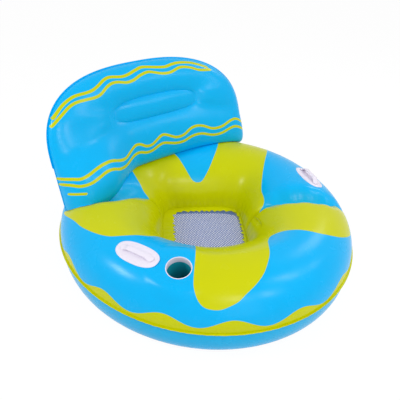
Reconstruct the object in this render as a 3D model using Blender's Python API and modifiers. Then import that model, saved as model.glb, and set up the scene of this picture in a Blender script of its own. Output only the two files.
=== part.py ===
"""Inflatable pool chair: a two-chamber seat ring with a mesh seat, and a pillow backrest.

Metres, +Z up. The chair faces -Y and stands on z = 0; its outline is centred on the Z axis.
Each welded sheet is its own shell, thicker than the real film so that it stays a sound solid.
"""

import math

import bmesh
import bpy
from mathutils import Matrix, Vector

# Sheets and welds
SHEET = 0.0015
GAP = 0.0003
WELD_GAP = 0.0006
WELD_LIFT = WELD_GAP / 2 + SHEET
WELD_WIDTH = 0.006
MERGE = 0.00001

# Seat ring
RING_WIDTH = 1.070
RING_DEPTH = 1.130
CREST_HEIGHT = 0.252
OUTER_WELD_HEIGHT = 0.111
HOLE_WELD_HEIGHT = 0.058
HOLE_HALF_WIDTH = 0.160
HOLE_SQUARENESS = 5.0
CREST_SHARE = 0.53
OUTER_ROUNDNESS = 2.2
INNER_ROUNDNESS = 2.0
FRONT_FLATTENING = 0.56
FRONT_MIDDLE = math.radians(-122)
FRONT_SPREAD = math.radians(50)
FLOOR_OUTER_RADIUS = 0.470
FLOOR_INNER_MARGIN = 0.070
SEAT_TURN = math.radians(-34)

# The puckered weld on each side, where the front and rear chambers meet: its plan angle at the
# rim and at the hole, and the share at which it starts to bend from one to the other
LEFT_SEAM = (math.radians(148.5), math.radians(122))
RIGHT_SEAM = (math.radians(-39), math.radians(-37))
SEAM_BEND_START = 0.45
SEAM_BEND_LENGTH = 0.5
SEAM_DEPTH = 0.047
SEAM_SPREAD = 0.036
SEAM_FOCUS = 4
SEAM_GAP = 0.0008
PARTITION_INSET = 0.008
PARTITION_STEPS = 14

# Sections through the ring: shares from the outer weld to the hole, and along half a ring
RING_ROWS = (0.0, 0.06, 0.13, 0.21, 0.30, 0.40, 0.50, 0.60, 0.70, 0.80, 0.90, 1.0)
NEAR_SEAM_SHARES = (0.0, 0.012, 0.028, 0.05, 0.08, 0.12)
MIDDLE_COLUMNS = 16
FINE_COLUMNS = 7
FINE_SPACING = 0.022
LEAST_SPACING = 0.008
FLOOR_ROWS = (0.0, 0.25, 0.55, 1.0, 1.0001, 1.5, 2.0)
FLOOR_STEPS = 48
MESH_STEPS = 40

# Mesh seat
MESH_HALF_WIDTH = 0.152
MESH_THICKNESS = 0.0012
BORDER_INNER_HALF_WIDTH = 0.144
BORDER_OUTER_HALF_WIDTH = 0.156
BORDER_THICKNESS = 0.0012
HOLE_LIP_HALF_WIDTH = 0.147

# Backrest
BACK_HALF_WIDTH = 0.4375
BACK_FOOT_Y = 0.354
BACK_FOOT_Z = 0.2247
BACK_LEAN = math.radians(20)
BACK_WRAP = 0.412
BACK_MIDDLE = 0.124
BACK_TOP_RISE = 0.267
BACK_TOP_SQUARENESS = 2.9
BACK_FOOT_SQUARENESS = 6.0
BACK_FOOT_RISE = 0.038
BACK_FOOT_DROP = 0.055
BACK_FOOT_WELD_WIDTH = 0.003
BACK_TOP_FULLNESS = 2.4
BACK_FOOT_FULLNESS = 5.0
BACK_FULLNESS_LEVEL = 0.174
BACK_FULLNESS_SPREAD = 0.120
BACK_UPRIGHT_SPREAD = 0.070
BACK_FRONT_SWELL = 0.086
BACK_REAR_SWELL = 0.064
SLOT_MIDDLE = 0.222
SLOT_HALF_LENGTH = 0.175
SLOT_HALF_HEIGHT = 0.021
SLOT_SQUARENESS = 4.0
SLOT_SINK = 0.024
SLOT_SPREAD = 0.045
BACK_STEPS = 40
BACK_ROWS = (0.0, 0.09, 0.22, 0.38, 0.55, 0.71, 0.84, 0.93, 0.98, 1.0)
WEB_INSET = 0.003
WEB_CLEARANCE = 0.0025
STRIP_REACH = 0.36
STRIP_HALF_WIDTH = 0.008
STRIP_RISE = 0.0006
STRIP_STEPS = 24
HINGE_Y = 0.365
HINGE_Z = 0.257

# Cup holder, its axis square to the ring's slope
CUP_ANGLE = math.radians(-140)
CUP_RADIUS_ON_RING = 0.424
CUP_BORE_RADIUS = 0.039
CUP_DEPTH = 0.110
CUP_WALL = 0.0018
COLLAR_FLANGE_RADIUS = 0.052
COLLAR_DEPTH = 0.018
COLLAR_RISE = 0.0008
CUP_TAPER = 0.003
CUP_STEPS = 32
FLAT_RADIUS = 0.060
FLAT_FADE = 0.050
FLAT_SINK = 0.004

# Handles
HANDLE_ANGLE = math.radians(21)
HANDLE_RADIUS_ON_RING = 0.419
PATCH_HALF_LENGTH = 0.078
PATCH_HALF_WIDTH = 0.038
PATCH_THICKNESS = 0.0016
PATCH_SQUARENESS = 2.4
PATCH_STEPS = 28
GRIP_HALF_LENGTH = 0.060
GRIP_HALF_WIDTH = 0.013
GRIP_RISE = 0.020
GRIP_THICKNESS = 0.003
GRIP_FOOT = 0.016
GRIP_SLOPE = 0.030
GRIP_FOOT_SPREAD = 1.25
GRIP_STATIONS = 16

# Valves
VALVE_FLANGE_RADIUS = 0.017
VALVE_FLANGE_THICKNESS = 0.0012
VALVE_COLLAR_RADIUS = 0.0105
VALVE_COLLAR_HEIGHT = 0.003
STEM_RADIUS = 0.008
STEM_BORE = 0.0045
STEM_HEIGHT = 0.019
STEM_INSIDE = 0.008
STEM_LIP_RADIUS = 0.0105
STEM_LIP_THICKNESS = 0.0015
RUNNING_GAP = 0.0004
FLAP_RADIUS = 0.0062
FLAP_THICKNESS = 0.0008
PLUG_LENGTH = 0.008
PLUG_HEAD_RADIUS = 0.0080
PLUG_HEAD_THICKNESS = 0.002
STRAP_RING_DEPTH = 0.0025
STRAP_RING_WALL = 0.0018
STRAP_WIDTH = 0.004
STRAP_THICKNESS = 0.0012
STRAP_REACH = 0.0022
VALVE_HOLE_MARGIN = 0.0015
VALVE_STEPS = 18
FRONT_VALVE_ANGLE = math.radians(-50)
FRONT_VALVE_SHARE = 0.38
REAR_VALVE_ANGLE = math.radians(110)
REAR_VALVE_RADIUS = 0.505
BACK_VALVE_X = 0.210
BACK_VALVE_V = 0.110

VINYL_ROUGHNESS = 0.25
MESH_ROUGHNESS = 0.8
COLOURS = {
    "blue": "0BAFEF",
    "blue_plain": "1B9CDD",
    "yellow": "CCD000",
    "mesh": "97A1C2",
    "white": "ECE6F4",
    "teal": "0D6672",
    "clear": "C9DCE8",
}


def clear_scene():
    for item in list(bpy.data.objects):
        bpy.data.objects.remove(item, do_unlink=True)


def linear(value):
    return value / 12.92 if value <= 0.04045 else ((value + 0.055) / 1.055) ** 2.4


def make_material(name, colour):
    material = bpy.data.materials.new(name)
    material.use_nodes = True
    shader = material.node_tree.nodes["Principled BSDF"]
    channels = [linear(int(COLOURS[colour][i : i + 2], 16) / 255) for i in (0, 2, 4)]
    shader.inputs["Base Color"].default_value = (*channels, 1)
    shader.inputs["Roughness"].default_value = MESH_ROUGHNESS if colour == "mesh" else VINYL_ROUGHNESS
    shader.inputs["Metallic"].default_value = 0
    return material


def attach(item, parent):
    """Parents an item and leaves it where it is."""
    item.parent = parent
    item.matrix_parent_inverse = parent.matrix_world.inverted()


def make_object(name, mesh, colour, collection, parent=None):
    item = bpy.data.objects.new(name, mesh)
    collection.objects.link(item)
    mesh.materials.append(make_material(name, colour))
    if parent is not None:
        attach(item, parent)
    return item


def make_empty(name, place, collection, parent=None):
    """An empty on a joint's axis."""
    empty = bpy.data.objects.new(name, None)
    collection.objects.link(empty)
    empty.location = place
    bpy.context.view_layer.update()
    if parent is not None:
        attach(empty, parent)
        bpy.context.view_layer.update()
    return empty


def thicken(item, thickness, offset=-1.0):
    """Gives an open surface its thickness, inwards at offset -1 and outwards at +1."""
    solid = item.modifiers.new("thickness", "SOLIDIFY")
    solid.thickness = thickness
    solid.offset = offset
    solid.use_even_offset = True
    solid.use_quality_normals = True
    item.data.shade_smooth()
    item.data.set_sharp_from_angle(angle=math.radians(40))


def loft(name, rows, closed=False, flip=False):
    """A surface through rows of points; in a closed one each row's end joins its start."""
    model = bmesh.new()
    grid = [[model.verts.new(point) for point in row] for row in rows]
    for near, far in zip(grid, grid[1:]):
        count = len(near)
        for i in range(count if closed else count - 1):
            j = (i + 1) % count
            corners = [near[i], near[j], far[j], far[i]]
            model.faces.new(corners[::-1] if flip else corners)
    bmesh.ops.remove_doubles(model, verts=model.verts, dist=MERGE)
    mesh = bpy.data.meshes.new(name)
    model.to_mesh(mesh)
    model.free()
    return mesh


def turned(name, profile, steps, collection, colour, matrix, parent=None):
    """A turned solid from a closed profile of (radius, height) pairs, outer side downwards."""
    mesh = bpy.data.meshes.new(name)
    count = len(profile)
    has_bore = profile[0][0] > MERGE
    edges = [(i, (i + 1) % count) for i in range(count if has_bore else count - 1)]
    mesh.from_pydata([(radius, 0.0, height) for radius, height in profile], edges, [])
    mesh.update()
    item = make_object(name, mesh, colour, collection)
    item.matrix_world = matrix
    if parent is not None:
        attach(item, parent)
    screw = item.modifiers.new("turn", "SCREW")
    screw.axis = "Z"
    screw.steps = steps
    screw.render_steps = steps
    screw.use_merge_vertices = True
    screw.merge_threshold = MERGE
    screw.use_smooth_shade = True
    return item


def cut(item, cutter):
    hole = item.modifiers.new("hole", "BOOLEAN")
    hole.operation = "DIFFERENCE"
    hole.object = cutter


def make_guide(name, model, matrix, collection):
    """Turns a model into an object that only cuts or joins others."""
    mesh = bpy.data.meshes.new(name)
    model.to_mesh(mesh)
    model.free()
    item = bpy.data.objects.new(name, mesh)
    item.matrix_world = matrix
    item.hide_render = True
    item.display_type = "WIRE"
    collection.objects.link(item)
    return item


def make_cutter(name, radius, length, matrix, collection):
    model = bmesh.new()
    bmesh.ops.create_cone(
        model, cap_ends=True, segments=24, radius1=radius, radius2=radius, depth=length
    )
    return make_guide(name, model, matrix, collection)


def smooth(value):
    value = min(max(value, 0.0), 1.0)
    return value * value * (3 - 2 * value)


def blend(a, b, share):
    return a + (b - a) * share


def polar(radius, angle, height):
    return (radius * math.cos(angle), radius * math.sin(angle), height)


def super_radius(angle, half_width, squareness):
    """Distance from the middle to a rounded square's edge."""
    across = abs(math.cos(angle)) ** squareness + abs(math.sin(angle)) ** squareness
    return half_width / across ** (1 / squareness)


def super_point(angle, half_width, half_height, squareness):
    """A point on a rounded oblong's edge."""
    c = math.cos(angle)
    s = math.sin(angle)
    power = 2 / squareness
    return (
        half_width * math.copysign(abs(c) ** power, c),
        half_height * math.copysign(abs(s) ** power, s),
    )


def outer_radius(angle):
    wide = RING_WIDTH / 2 - WELD_WIDTH
    deep = RING_DEPTH / 2 - WELD_WIDTH
    return 1 / math.hypot(math.cos(angle) / wide, math.sin(angle) / deep)


def hole_radius(angle, half_width=HOLE_HALF_WIDTH):
    return super_radius(angle - SEAT_TURN, half_width, HOLE_SQUARENESS)


def wrapped(angle):
    """The same direction, less than half a turn from 0."""
    return (angle + math.pi) % math.tau - math.pi


def inner_roundness(angle):
    """The ring's inner side is round at the back and falls more evenly at the front."""
    apart = wrapped(angle - FRONT_MIDDLE) / FRONT_SPREAD
    return INNER_ROUNDNESS - FRONT_FLATTENING * math.exp(-(apart**2))


def seam_angle(seam, share):
    return blend(*seam, smooth((share - SEAM_BEND_START) / SEAM_BEND_LENGTH))


def top_section(angle, share):
    """Radius and height of the top sheet; share runs from the outer weld to the hole."""
    outside = outer_radius(angle)
    inside = hole_radius(angle)
    crest = blend(inside, outside, CREST_SHARE)
    turn = math.pi * share
    rise = max(math.sin(turn), 0.0)
    run = abs(math.cos(turn))
    if share <= 0.5:
        radius = crest + (outside - crest) * run ** (2 / OUTER_ROUNDNESS)
        height = blend(OUTER_WELD_HEIGHT, CREST_HEIGHT, rise ** (2 / OUTER_ROUNDNESS))
    else:
        power = 2 / inner_roundness(angle)
        radius = crest - (crest - inside) * run**power
        height = blend(HOLE_WELD_HEIGHT, CREST_HEIGHT, rise**power)
    for seam in (LEFT_SEAM, RIGHT_SEAM):
        apart = wrapped(angle - seam_angle(seam, share))
        pinch = math.exp(-((apart * radius / SEAM_SPREAD) ** 2))
        height -= SEAM_DEPTH * pinch * rise**SEAM_FOCUS
    return radius, height


def plain_point(angle, share):
    radius, height = top_section(angle, share)
    return Vector(polar(radius, angle, height))


def surface_frame(angle, radius):
    """Place and outward normal of the top sheet at a plan angle and radius."""
    low, high = 0.0, 1.0
    while high - low > MERGE:
        share = (low + high) / 2
        if top_section(angle, share)[0] > radius:
            low = share
        else:
            high = share
    step = 0.005
    along = plain_point(angle + step, share) - plain_point(angle - step, share)
    inwards = plain_point(angle, share + step) - plain_point(angle, share - step)
    return plain_point(angle, share), along.cross(inwards).normalized()


CUP_PLACE, CUP_AXIS = surface_frame(CUP_ANGLE, CUP_RADIUS_ON_RING)
CUP_PLACE = CUP_PLACE - CUP_AXIS * FLAT_SINK


def top_point(angle, share):
    """The top sheet's outer surface, drawn flat round the cup holder."""
    place = plain_point(angle, share)
    offset = place - CUP_PLACE
    height = offset.dot(CUP_AXIS)
    distance = (offset - CUP_AXIS * height).length
    if abs(height) < FLAT_RADIUS:
        place -= CUP_AXIS * height * smooth((FLAT_RADIUS + FLAT_FADE - distance) / FLAT_FADE)
    return place


def plan_point(x, y):
    """Place and normal of the top sheet under a point of the plan."""
    return surface_frame(math.atan2(y, x), math.hypot(x, y))


def facing(place, normal):
    """A matrix whose Z is the normal and whose X points as far up as it can."""
    z = normal.normalized()
    x = (Vector((0, 0, 1)) - z * z.z).normalized()
    matrix = Matrix((x, z.cross(x), z)).transposed().to_4x4()
    matrix.translation = place
    return matrix


def top_columns(fine_share=None):
    """Shares along a half ring, closer together near its seams and at a fine spot."""
    edge = NEAR_SEAM_SHARES[-1]
    shares = [*NEAR_SEAM_SHARES, *(1 - share for share in NEAR_SEAM_SHARES)]
    shares += [edge + (1 - 2 * edge) * i / MIDDLE_COLUMNS for i in range(1, MIDDLE_COLUMNS)]
    if fine_share is not None:
        for i in range(FINE_COLUMNS):
            share = fine_share + (i - FINE_COLUMNS // 2) * FINE_SPACING
            if min(abs(share - other) for other in shares) > LEAST_SPACING:
                shares.append(share)
    return sorted(shares)


def make_top_sheet(name, start_seam, end_seam, fine_share, collection, colour):
    """One chamber's printed sheet between two seams, with its weld lips at rim and hole."""
    rows = [[]]
    for share in RING_ROWS:
        start = seam_angle(start_seam, share)
        end = seam_angle(end_seam, share)
        clear = SEAM_GAP / 2 / top_section(start, share)[0]
        row = []
        for column in top_columns(fine_share):
            angle = blend(start + clear, end - clear, column)
            point = top_point(angle, share)
            if share in (RING_ROWS[0], RING_ROWS[-1]):
                point.z += WELD_LIFT
            row.append(point)
            if share == RING_ROWS[0]:
                reach = outer_radius(angle) + WELD_WIDTH
                rows[0].append(polar(reach, angle, OUTER_WELD_HEIGHT + WELD_LIFT))
        rows.append(row)
    lip = []
    for point in rows[-1]:
        angle = math.atan2(point.y, point.x)
        lip.append(polar(hole_radius(angle, HOLE_LIP_HALF_WIDTH), angle, point.z))
    item = make_object(name, loft(name, [*rows, lip]), colour, collection)
    thicken(item, SHEET)
    return item


def floor_edges(angle):
    """Inner and outer radius of the flat floor."""
    outer = FLOOR_OUTER_RADIUS * outer_radius(angle) / outer_radius(0)
    return hole_radius(angle) + FLOOR_INNER_MARGIN, outer


def bottom_section(angle, share):
    """Radius and height of the bottom sheet: rim at 0, flat floor at 1, hole at 2."""
    floor_inner, floor_outer = floor_edges(angle)
    if share <= 1:
        turn = share * math.pi / 2
        radius = floor_outer + (outer_radius(angle) - floor_outer) * math.cos(turn)
        return radius, OUTER_WELD_HEIGHT * (1 - math.sin(turn))
    turn = (share - 1) * math.pi / 2
    radius = floor_inner - (floor_inner - hole_radius(angle)) * math.sin(turn)
    return radius, HOLE_WELD_HEIGHT * (1 - math.cos(turn))


def floor_height(angle, radius):
    """Height of the bottom sheet's upper side at a radius."""
    floor_inner, floor_outer = floor_edges(angle)
    if radius > floor_outer:
        share = min((radius - floor_outer) / (outer_radius(angle) - floor_outer), 1.0)
        return SHEET + OUTER_WELD_HEIGHT * (1 - math.sqrt(1 - share * share))
    share = min(max(floor_inner - radius, 0.0) / (floor_inner - hole_radius(angle)), 1.0)
    return SHEET + HOLE_WELD_HEIGHT * (1 - math.sqrt(1 - share * share))


def make_bottom_sheet(collection):
    name = "seat_bottom_sheet"
    angles = [math.tau * i / FLOOR_STEPS for i in range(FLOOR_STEPS)]
    rim = OUTER_WELD_HEIGHT - WELD_LIFT
    hole = HOLE_WELD_HEIGHT - WELD_LIFT
    rows = [[polar(outer_radius(angle) + WELD_WIDTH, angle, rim) for angle in angles]]
    for share in FLOOR_ROWS:
        row = []
        for angle in angles:
            radius, height = bottom_section(angle, share)
            if share in (FLOOR_ROWS[0], FLOOR_ROWS[-1]):
                height -= WELD_LIFT
            row.append(polar(radius, angle, max(height, 0.0)))
        rows.append(row)
    rows.append([polar(hole_radius(angle, HOLE_LIP_HALF_WIDTH), angle, hole) for angle in angles])
    item = make_object(name, loft(name, rows, closed=True, flip=True), "blue_plain", collection)
    thicken(item, SHEET)
    return item


def make_partition(name, seam, collection):
    """The wall between the two chambers, under one puckered weld."""
    crest = blend(HOLE_HALF_WIDTH, (RING_WIDTH + RING_DEPTH) / 4, CREST_SHARE)
    middle = Vector((crest, CREST_HEIGHT / 2))
    rows = [[], []]
    for i in range(1, PARTITION_STEPS):
        share = i / PARTITION_STEPS
        angle = seam_angle(seam, share)
        radius, height = top_section(angle, share)
        for row, edge_height in zip(rows, (floor_height(angle, radius), height)):
            spot = Vector((radius, edge_height))
            spot += (middle - spot).normalized() * PARTITION_INSET
            row.append(polar(spot.x, angle, spot.y))
    item = make_object(name, loft(name, rows), "clear", collection)
    thicken(item, SHEET, 0.0)


def make_mesh_seat(collection):
    """The net panel, which hangs on the hole's weld, and the border welded over its edge."""
    angles = [math.tau * i / MESH_STEPS for i in range(MESH_STEPS)]
    mesh_top = HOLE_WELD_HEIGHT + WELD_LIFT + GAP + MESH_THICKNESS
    rows = []
    for share in (1.0, 0.5, 0.0):
        reach = MESH_HALF_WIDTH * share
        rows.append([polar(hole_radius(angle, reach), angle, mesh_top) for angle in angles])
    panel = make_object("seat_mesh", loft("seat_mesh", rows, closed=True), "mesh", collection)
    thicken(panel, MESH_THICKNESS)
    border_top = mesh_top + GAP + BORDER_THICKNESS
    rows = []
    for reach in (BORDER_OUTER_HALF_WIDTH, BORDER_INNER_HALF_WIDTH):
        rows.append([polar(hole_radius(angle, reach), angle, border_top) for angle in angles])
    mesh = loft("mesh_border", rows, closed=True)
    border = make_object("mesh_border", mesh, "yellow", collection)
    thicken(border, BORDER_THICKNESS)


def foot_line(x):
    """Height, in the backrest's plane, of its lower edge: it follows the ring's crown."""
    return BACK_FOOT_RISE - BACK_FOOT_DROP * min(abs(x) / BACK_HALF_WIDTH, 1.0) ** 5


def back_outline(angle):
    if math.sin(angle) >= 0:
        x, rise = super_point(angle, BACK_HALF_WIDTH, BACK_TOP_RISE, BACK_TOP_SQUARENESS)
        return x, BACK_MIDDLE + rise
    x, drop = super_point(angle, BACK_HALF_WIDTH, 1.0, BACK_FOOT_SQUARENESS)
    return x, BACK_MIDDLE + drop * (BACK_MIDDLE - foot_line(x))


def back_reach(x, v):
    """0 at the backrest's middle and 1 at its edge."""
    across = abs(x) / BACK_HALF_WIDTH
    if v >= BACK_MIDDLE:
        power = BACK_TOP_SQUARENESS
        up = (v - BACK_MIDDLE) / BACK_TOP_RISE
    else:
        power = BACK_FOOT_SQUARENESS
        up = (BACK_MIDDLE - v) / (BACK_MIDDLE - foot_line(x))
    return min((across**power + up**power) ** (1 / power), 1.0)


def slot_distance(x, v):
    """Distance outside the sunk slot, 0 on and inside its edge."""
    straight = SLOT_HALF_LENGTH - SLOT_HALF_HEIGHT
    beyond = max(abs(x) - straight, 0.0)
    return max(math.hypot(beyond, v - SLOT_MIDDLE) - SLOT_HALF_HEIGHT, 0.0)


def back_swell(x, v, front):
    """How far a sheet stands off the backrest's middle plane; it is fuller near the foot."""
    share = smooth((BACK_FULLNESS_LEVEL - v) / BACK_FULLNESS_SPREAD)
    fullness = blend(BACK_TOP_FULLNESS, BACK_FOOT_FULLNESS, share)
    swell = math.sqrt(max(1 - back_reach(x, v) ** fullness, 0.0))
    sink = SLOT_SINK * (1 - smooth(slot_distance(x, v) / SLOT_SPREAD))
    limit = BACK_FRONT_SWELL if front else BACK_REAR_SWELL
    return max(limit * swell - sink, 0.0)


def back_point(x, v, stand_off):
    """A point of the backrest, stand_off in front of its middle plane: level at the foot, where
    the backrest's underside lies along the ring, and square to the plane higher up."""
    tilt = BACK_LEAN * smooth((v - foot_line(x)) / BACK_UPRIGHT_SPREAD)
    middle_y = BACK_FOOT_Y - BACK_WRAP * x * x + v * math.sin(BACK_LEAN)
    middle_z = BACK_FOOT_Z + v * math.cos(BACK_LEAN)
    return (x, middle_y - stand_off * math.cos(tilt), middle_z + stand_off * math.sin(tilt))


def make_back_sheet(name, front, colour, collection, parent):
    """A backrest sheet, lofted from the slot's floor out to the weld round the rim."""
    side = 1 if front else -1
    angles = [math.tau * i / BACK_STEPS for i in range(BACK_STEPS)]
    rows = [[] for _ in range(len(BACK_ROWS) + 2)]
    for angle in angles:
        edge = Vector(back_outline(angle))
        slot = Vector(super_point(angle, SLOT_HALF_LENGTH, SLOT_HALF_HEIGHT, SLOT_SQUARENESS))
        slot.y += SLOT_MIDDLE
        floor_x = slot.x * (1 - SLOT_HALF_HEIGHT / SLOT_HALF_LENGTH)
        rows[0].append(skin_point(floor_x, SLOT_MIDDLE, front))
        for row, share in zip(rows[1:], BACK_ROWS):
            spot = slot.lerp(edge, share)
            row.append(skin_point(spot.x, spot.y, front))
        step = 0.01
        run = Vector(back_outline(angle + step)) - Vector(back_outline(angle - step))
        outwards = Vector((run.y, -run.x)).normalized()
        outwards *= WELD_WIDTH if math.sin(angle) >= 0 else BACK_FOOT_WELD_WIDTH
        rows[-1].append(back_point(edge.x + outwards.x, edge.y + outwards.y, side * WELD_LIFT))
    item = make_object(name, loft(name, rows, closed=True, flip=front), colour, collection, parent)
    thicken(item, SHEET)
    return item


def skin_point(x, v, front):
    """A point on the outer side of a backrest sheet."""
    stand_off = back_swell(x, v, front) + WELD_LIFT
    return back_point(x, v, stand_off if front else -stand_off)


def back_rear_frame(x, v):
    """Place and outward normal on the backrest's rear sheet."""
    step = 0.004
    across = Vector(skin_point(x + step, v, False)) - Vector(skin_point(x - step, v, False))
    up = Vector(skin_point(x, v + step, False)) - Vector(skin_point(x, v - step, False))
    return Vector(skin_point(x, v, False)), up.cross(across).normalized()


def make_back_web(collection, parent):
    """The sleeve inside the backrest that ties its two sheets together along the slot."""
    name = "backrest_slot_web"
    half_length = SLOT_HALF_LENGTH - WEB_INSET
    half_height = SLOT_HALF_HEIGHT - WEB_INSET
    rows = [[], []]
    for i in range(BACK_STEPS):
        x, rise = super_point(math.tau * i / BACK_STEPS, half_length, half_height, SLOT_SQUARENESS)
        v = SLOT_MIDDLE + rise
        rows[0].append(back_point(x, v, back_swell(x, v, True) - WEB_CLEARANCE))
        rows[1].append(back_point(x, v, WEB_CLEARANCE - back_swell(x, v, False)))
    item = make_object(name, loft(name, rows, closed=True), "clear", collection, parent)
    thicken(item, SHEET)


def make_back_strip(collection):
    """The weld strip under the backrest's foot, lying along the ring's crown."""
    name = "backrest_weld_strip"
    rows = [[], []]
    for i in range(STRIP_STEPS + 1):
        x = blend(-STRIP_REACH, STRIP_REACH, i / STRIP_STEPS)
        y = BACK_FOOT_Y - BACK_WRAP * x * x + foot_line(x) * math.sin(BACK_LEAN)
        for row, offset in zip(rows, (-STRIP_HALF_WIDTH, STRIP_HALF_WIDTH)):
            place, normal = plan_point(x, y + offset)
            row.append(tuple(place + normal * STRIP_RISE))
    item = make_object(name, loft(name, rows), "blue_plain", collection)
    thicken(item, SHEET, 1.0)


def make_cup_holder(collection, cutters):
    """A collar whose flange lies under the sheet, a tapering wall and a floor."""
    frame = facing(CUP_PLACE, CUP_AXIS)
    inner = CUP_BORE_RADIUS
    outer = CUP_BORE_RADIUS + CUP_WALL
    flange_top = -SHEET - COLLAR_RISE
    collar = [
        (outer, -COLLAR_DEPTH),
        (inner, -COLLAR_DEPTH),
        (inner, COLLAR_RISE),
        (outer, COLLAR_RISE),
        (outer, flange_top),
        (COLLAR_FLANGE_RADIUS, flange_top),
        (COLLAR_FLANGE_RADIUS, flange_top - CUP_WALL),
        (outer, flange_top - CUP_WALL),
    ]
    turned("cup_holder_collar", collar, CUP_STEPS, collection, "white", frame)
    top = -COLLAR_DEPTH - GAP
    foot = inner - CUP_TAPER
    wall = [(inner, top), (outer, top), (foot + CUP_WALL, -CUP_DEPTH), (foot, -CUP_DEPTH)]
    turned("cup_holder_wall", wall, CUP_STEPS, collection, "teal", frame)
    disc = foot - GAP
    floor_top = CUP_WALL - CUP_DEPTH
    floor = [(0.0, floor_top), (disc, floor_top), (disc, -CUP_DEPTH), (0.0, -CUP_DEPTH)]
    turned("cup_holder_floor", floor, CUP_STEPS, collection, "teal", frame)
    return make_cutter("cup_hole", outer + COLLAR_RISE, COLLAR_DEPTH * 2, frame, cutters)


def make_handle(side, collection):
    """A white oval patch on the ring with an arched grip strap moulded to it."""
    angle = -HANDLE_ANGLE if side == "right" else HANDLE_ANGLE - math.pi
    outwards = Vector((math.cos(angle), math.sin(angle)))
    along = Vector((-outwards.y, outwards.x))

    def raised(u, w, rise):
        spot = outwards * (HANDLE_RADIUS_ON_RING + w) + along * u
        place, normal = plan_point(spot.x, spot.y)
        return place + normal * rise

    straight = PATCH_HALF_LENGTH - PATCH_HALF_WIDTH
    rows = [[], [], []]
    for i in range(PATCH_STEPS):
        u, w = super_point(math.tau * i / PATCH_STEPS, 1.0, PATCH_HALF_WIDTH, PATCH_SQUARENESS)
        for row, share in zip(rows, (0.0, 0.5, 1.0)):
            row.append(raised((straight + PATCH_HALF_WIDTH * share) * u, w * share, GAP * 2))
    name = side + "_handle_patch"
    patch = make_object(name, loft(name, rows, closed=True), "white", collection)
    thicken(patch, PATCH_THICKNESS, 1.0)

    rows = []
    for i in range(GRIP_STATIONS + 1):
        u = blend(-GRIP_HALF_LENGTH, GRIP_HALF_LENGTH, i / GRIP_STATIONS)
        arch = smooth((GRIP_HALF_LENGTH - GRIP_FOOT - abs(u)) / GRIP_SLOPE)
        lift = PATCH_THICKNESS + GAP * 3 + (GRIP_RISE - GRIP_THICKNESS) * arch
        half_width = GRIP_HALF_WIDTH * blend(GRIP_FOOT_SPREAD, 1.0, arch)
        rows.append([raised(u, w * half_width, lift) for w in (-1.0, -0.4, 0.4, 1.0)])
    name = side + "_handle_grip"
    grip = make_object(name, loft(name, rows), "white", collection)
    thicken(grip, GRIP_THICKNESS, 1.0)


def make_valve(prefix, place, normal, collection, cutters, parent=None):
    """A welded base, a stem that pushes in through it, a check flap and a plug on a strap."""
    frame = facing(place, normal)
    bore = STEM_RADIUS + RUNNING_GAP
    flange_top = GAP + VALVE_FLANGE_THICKNESS
    base = [
        (bore, GAP),
        (bore, flange_top + VALVE_COLLAR_HEIGHT),
        (VALVE_COLLAR_RADIUS, flange_top + VALVE_COLLAR_HEIGHT),
        (VALVE_COLLAR_RADIUS, flange_top),
        (VALVE_FLANGE_RADIUS, flange_top),
        (VALVE_FLANGE_RADIUS, GAP),
    ]
    turned(prefix + "_valve_base", base, VALVE_STEPS, collection, "clear", frame, parent)
    lip_top = STEM_LIP_THICKNESS - STEM_INSIDE
    tube = [
        (STEM_BORE, -STEM_INSIDE),
        (STEM_BORE, STEM_HEIGHT),
        (STEM_RADIUS, STEM_HEIGHT),
        (STEM_RADIUS, lip_top),
        (STEM_LIP_RADIUS, lip_top),
        (STEM_LIP_RADIUS, -STEM_INSIDE),
    ]
    stem = turned(prefix + "_valve_stem", tube, VALVE_STEPS, collection, "clear", frame, parent)
    top = -STEM_INSIDE - GAP
    low = top - FLAP_THICKNESS
    disc = [(0.0, top), (FLAP_RADIUS, top), (FLAP_RADIUS, low), (0.0, low)]
    pivot_place = frame @ Vector((FLAP_RADIUS, 0, top))
    pivot = make_empty(prefix + "_flap_pivot", pivot_place, collection, stem)
    turned(prefix + "_valve_flap", disc, VALVE_STEPS, collection, "clear", frame, pivot)
    make_plug(prefix + "_valve_plug", frame, collection, cutters, stem)
    hole = STEM_LIP_RADIUS + VALVE_HOLE_MARGIN
    return make_cutter(prefix + "_valve_hole", hole, STEM_HEIGHT, frame, cutters)


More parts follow.
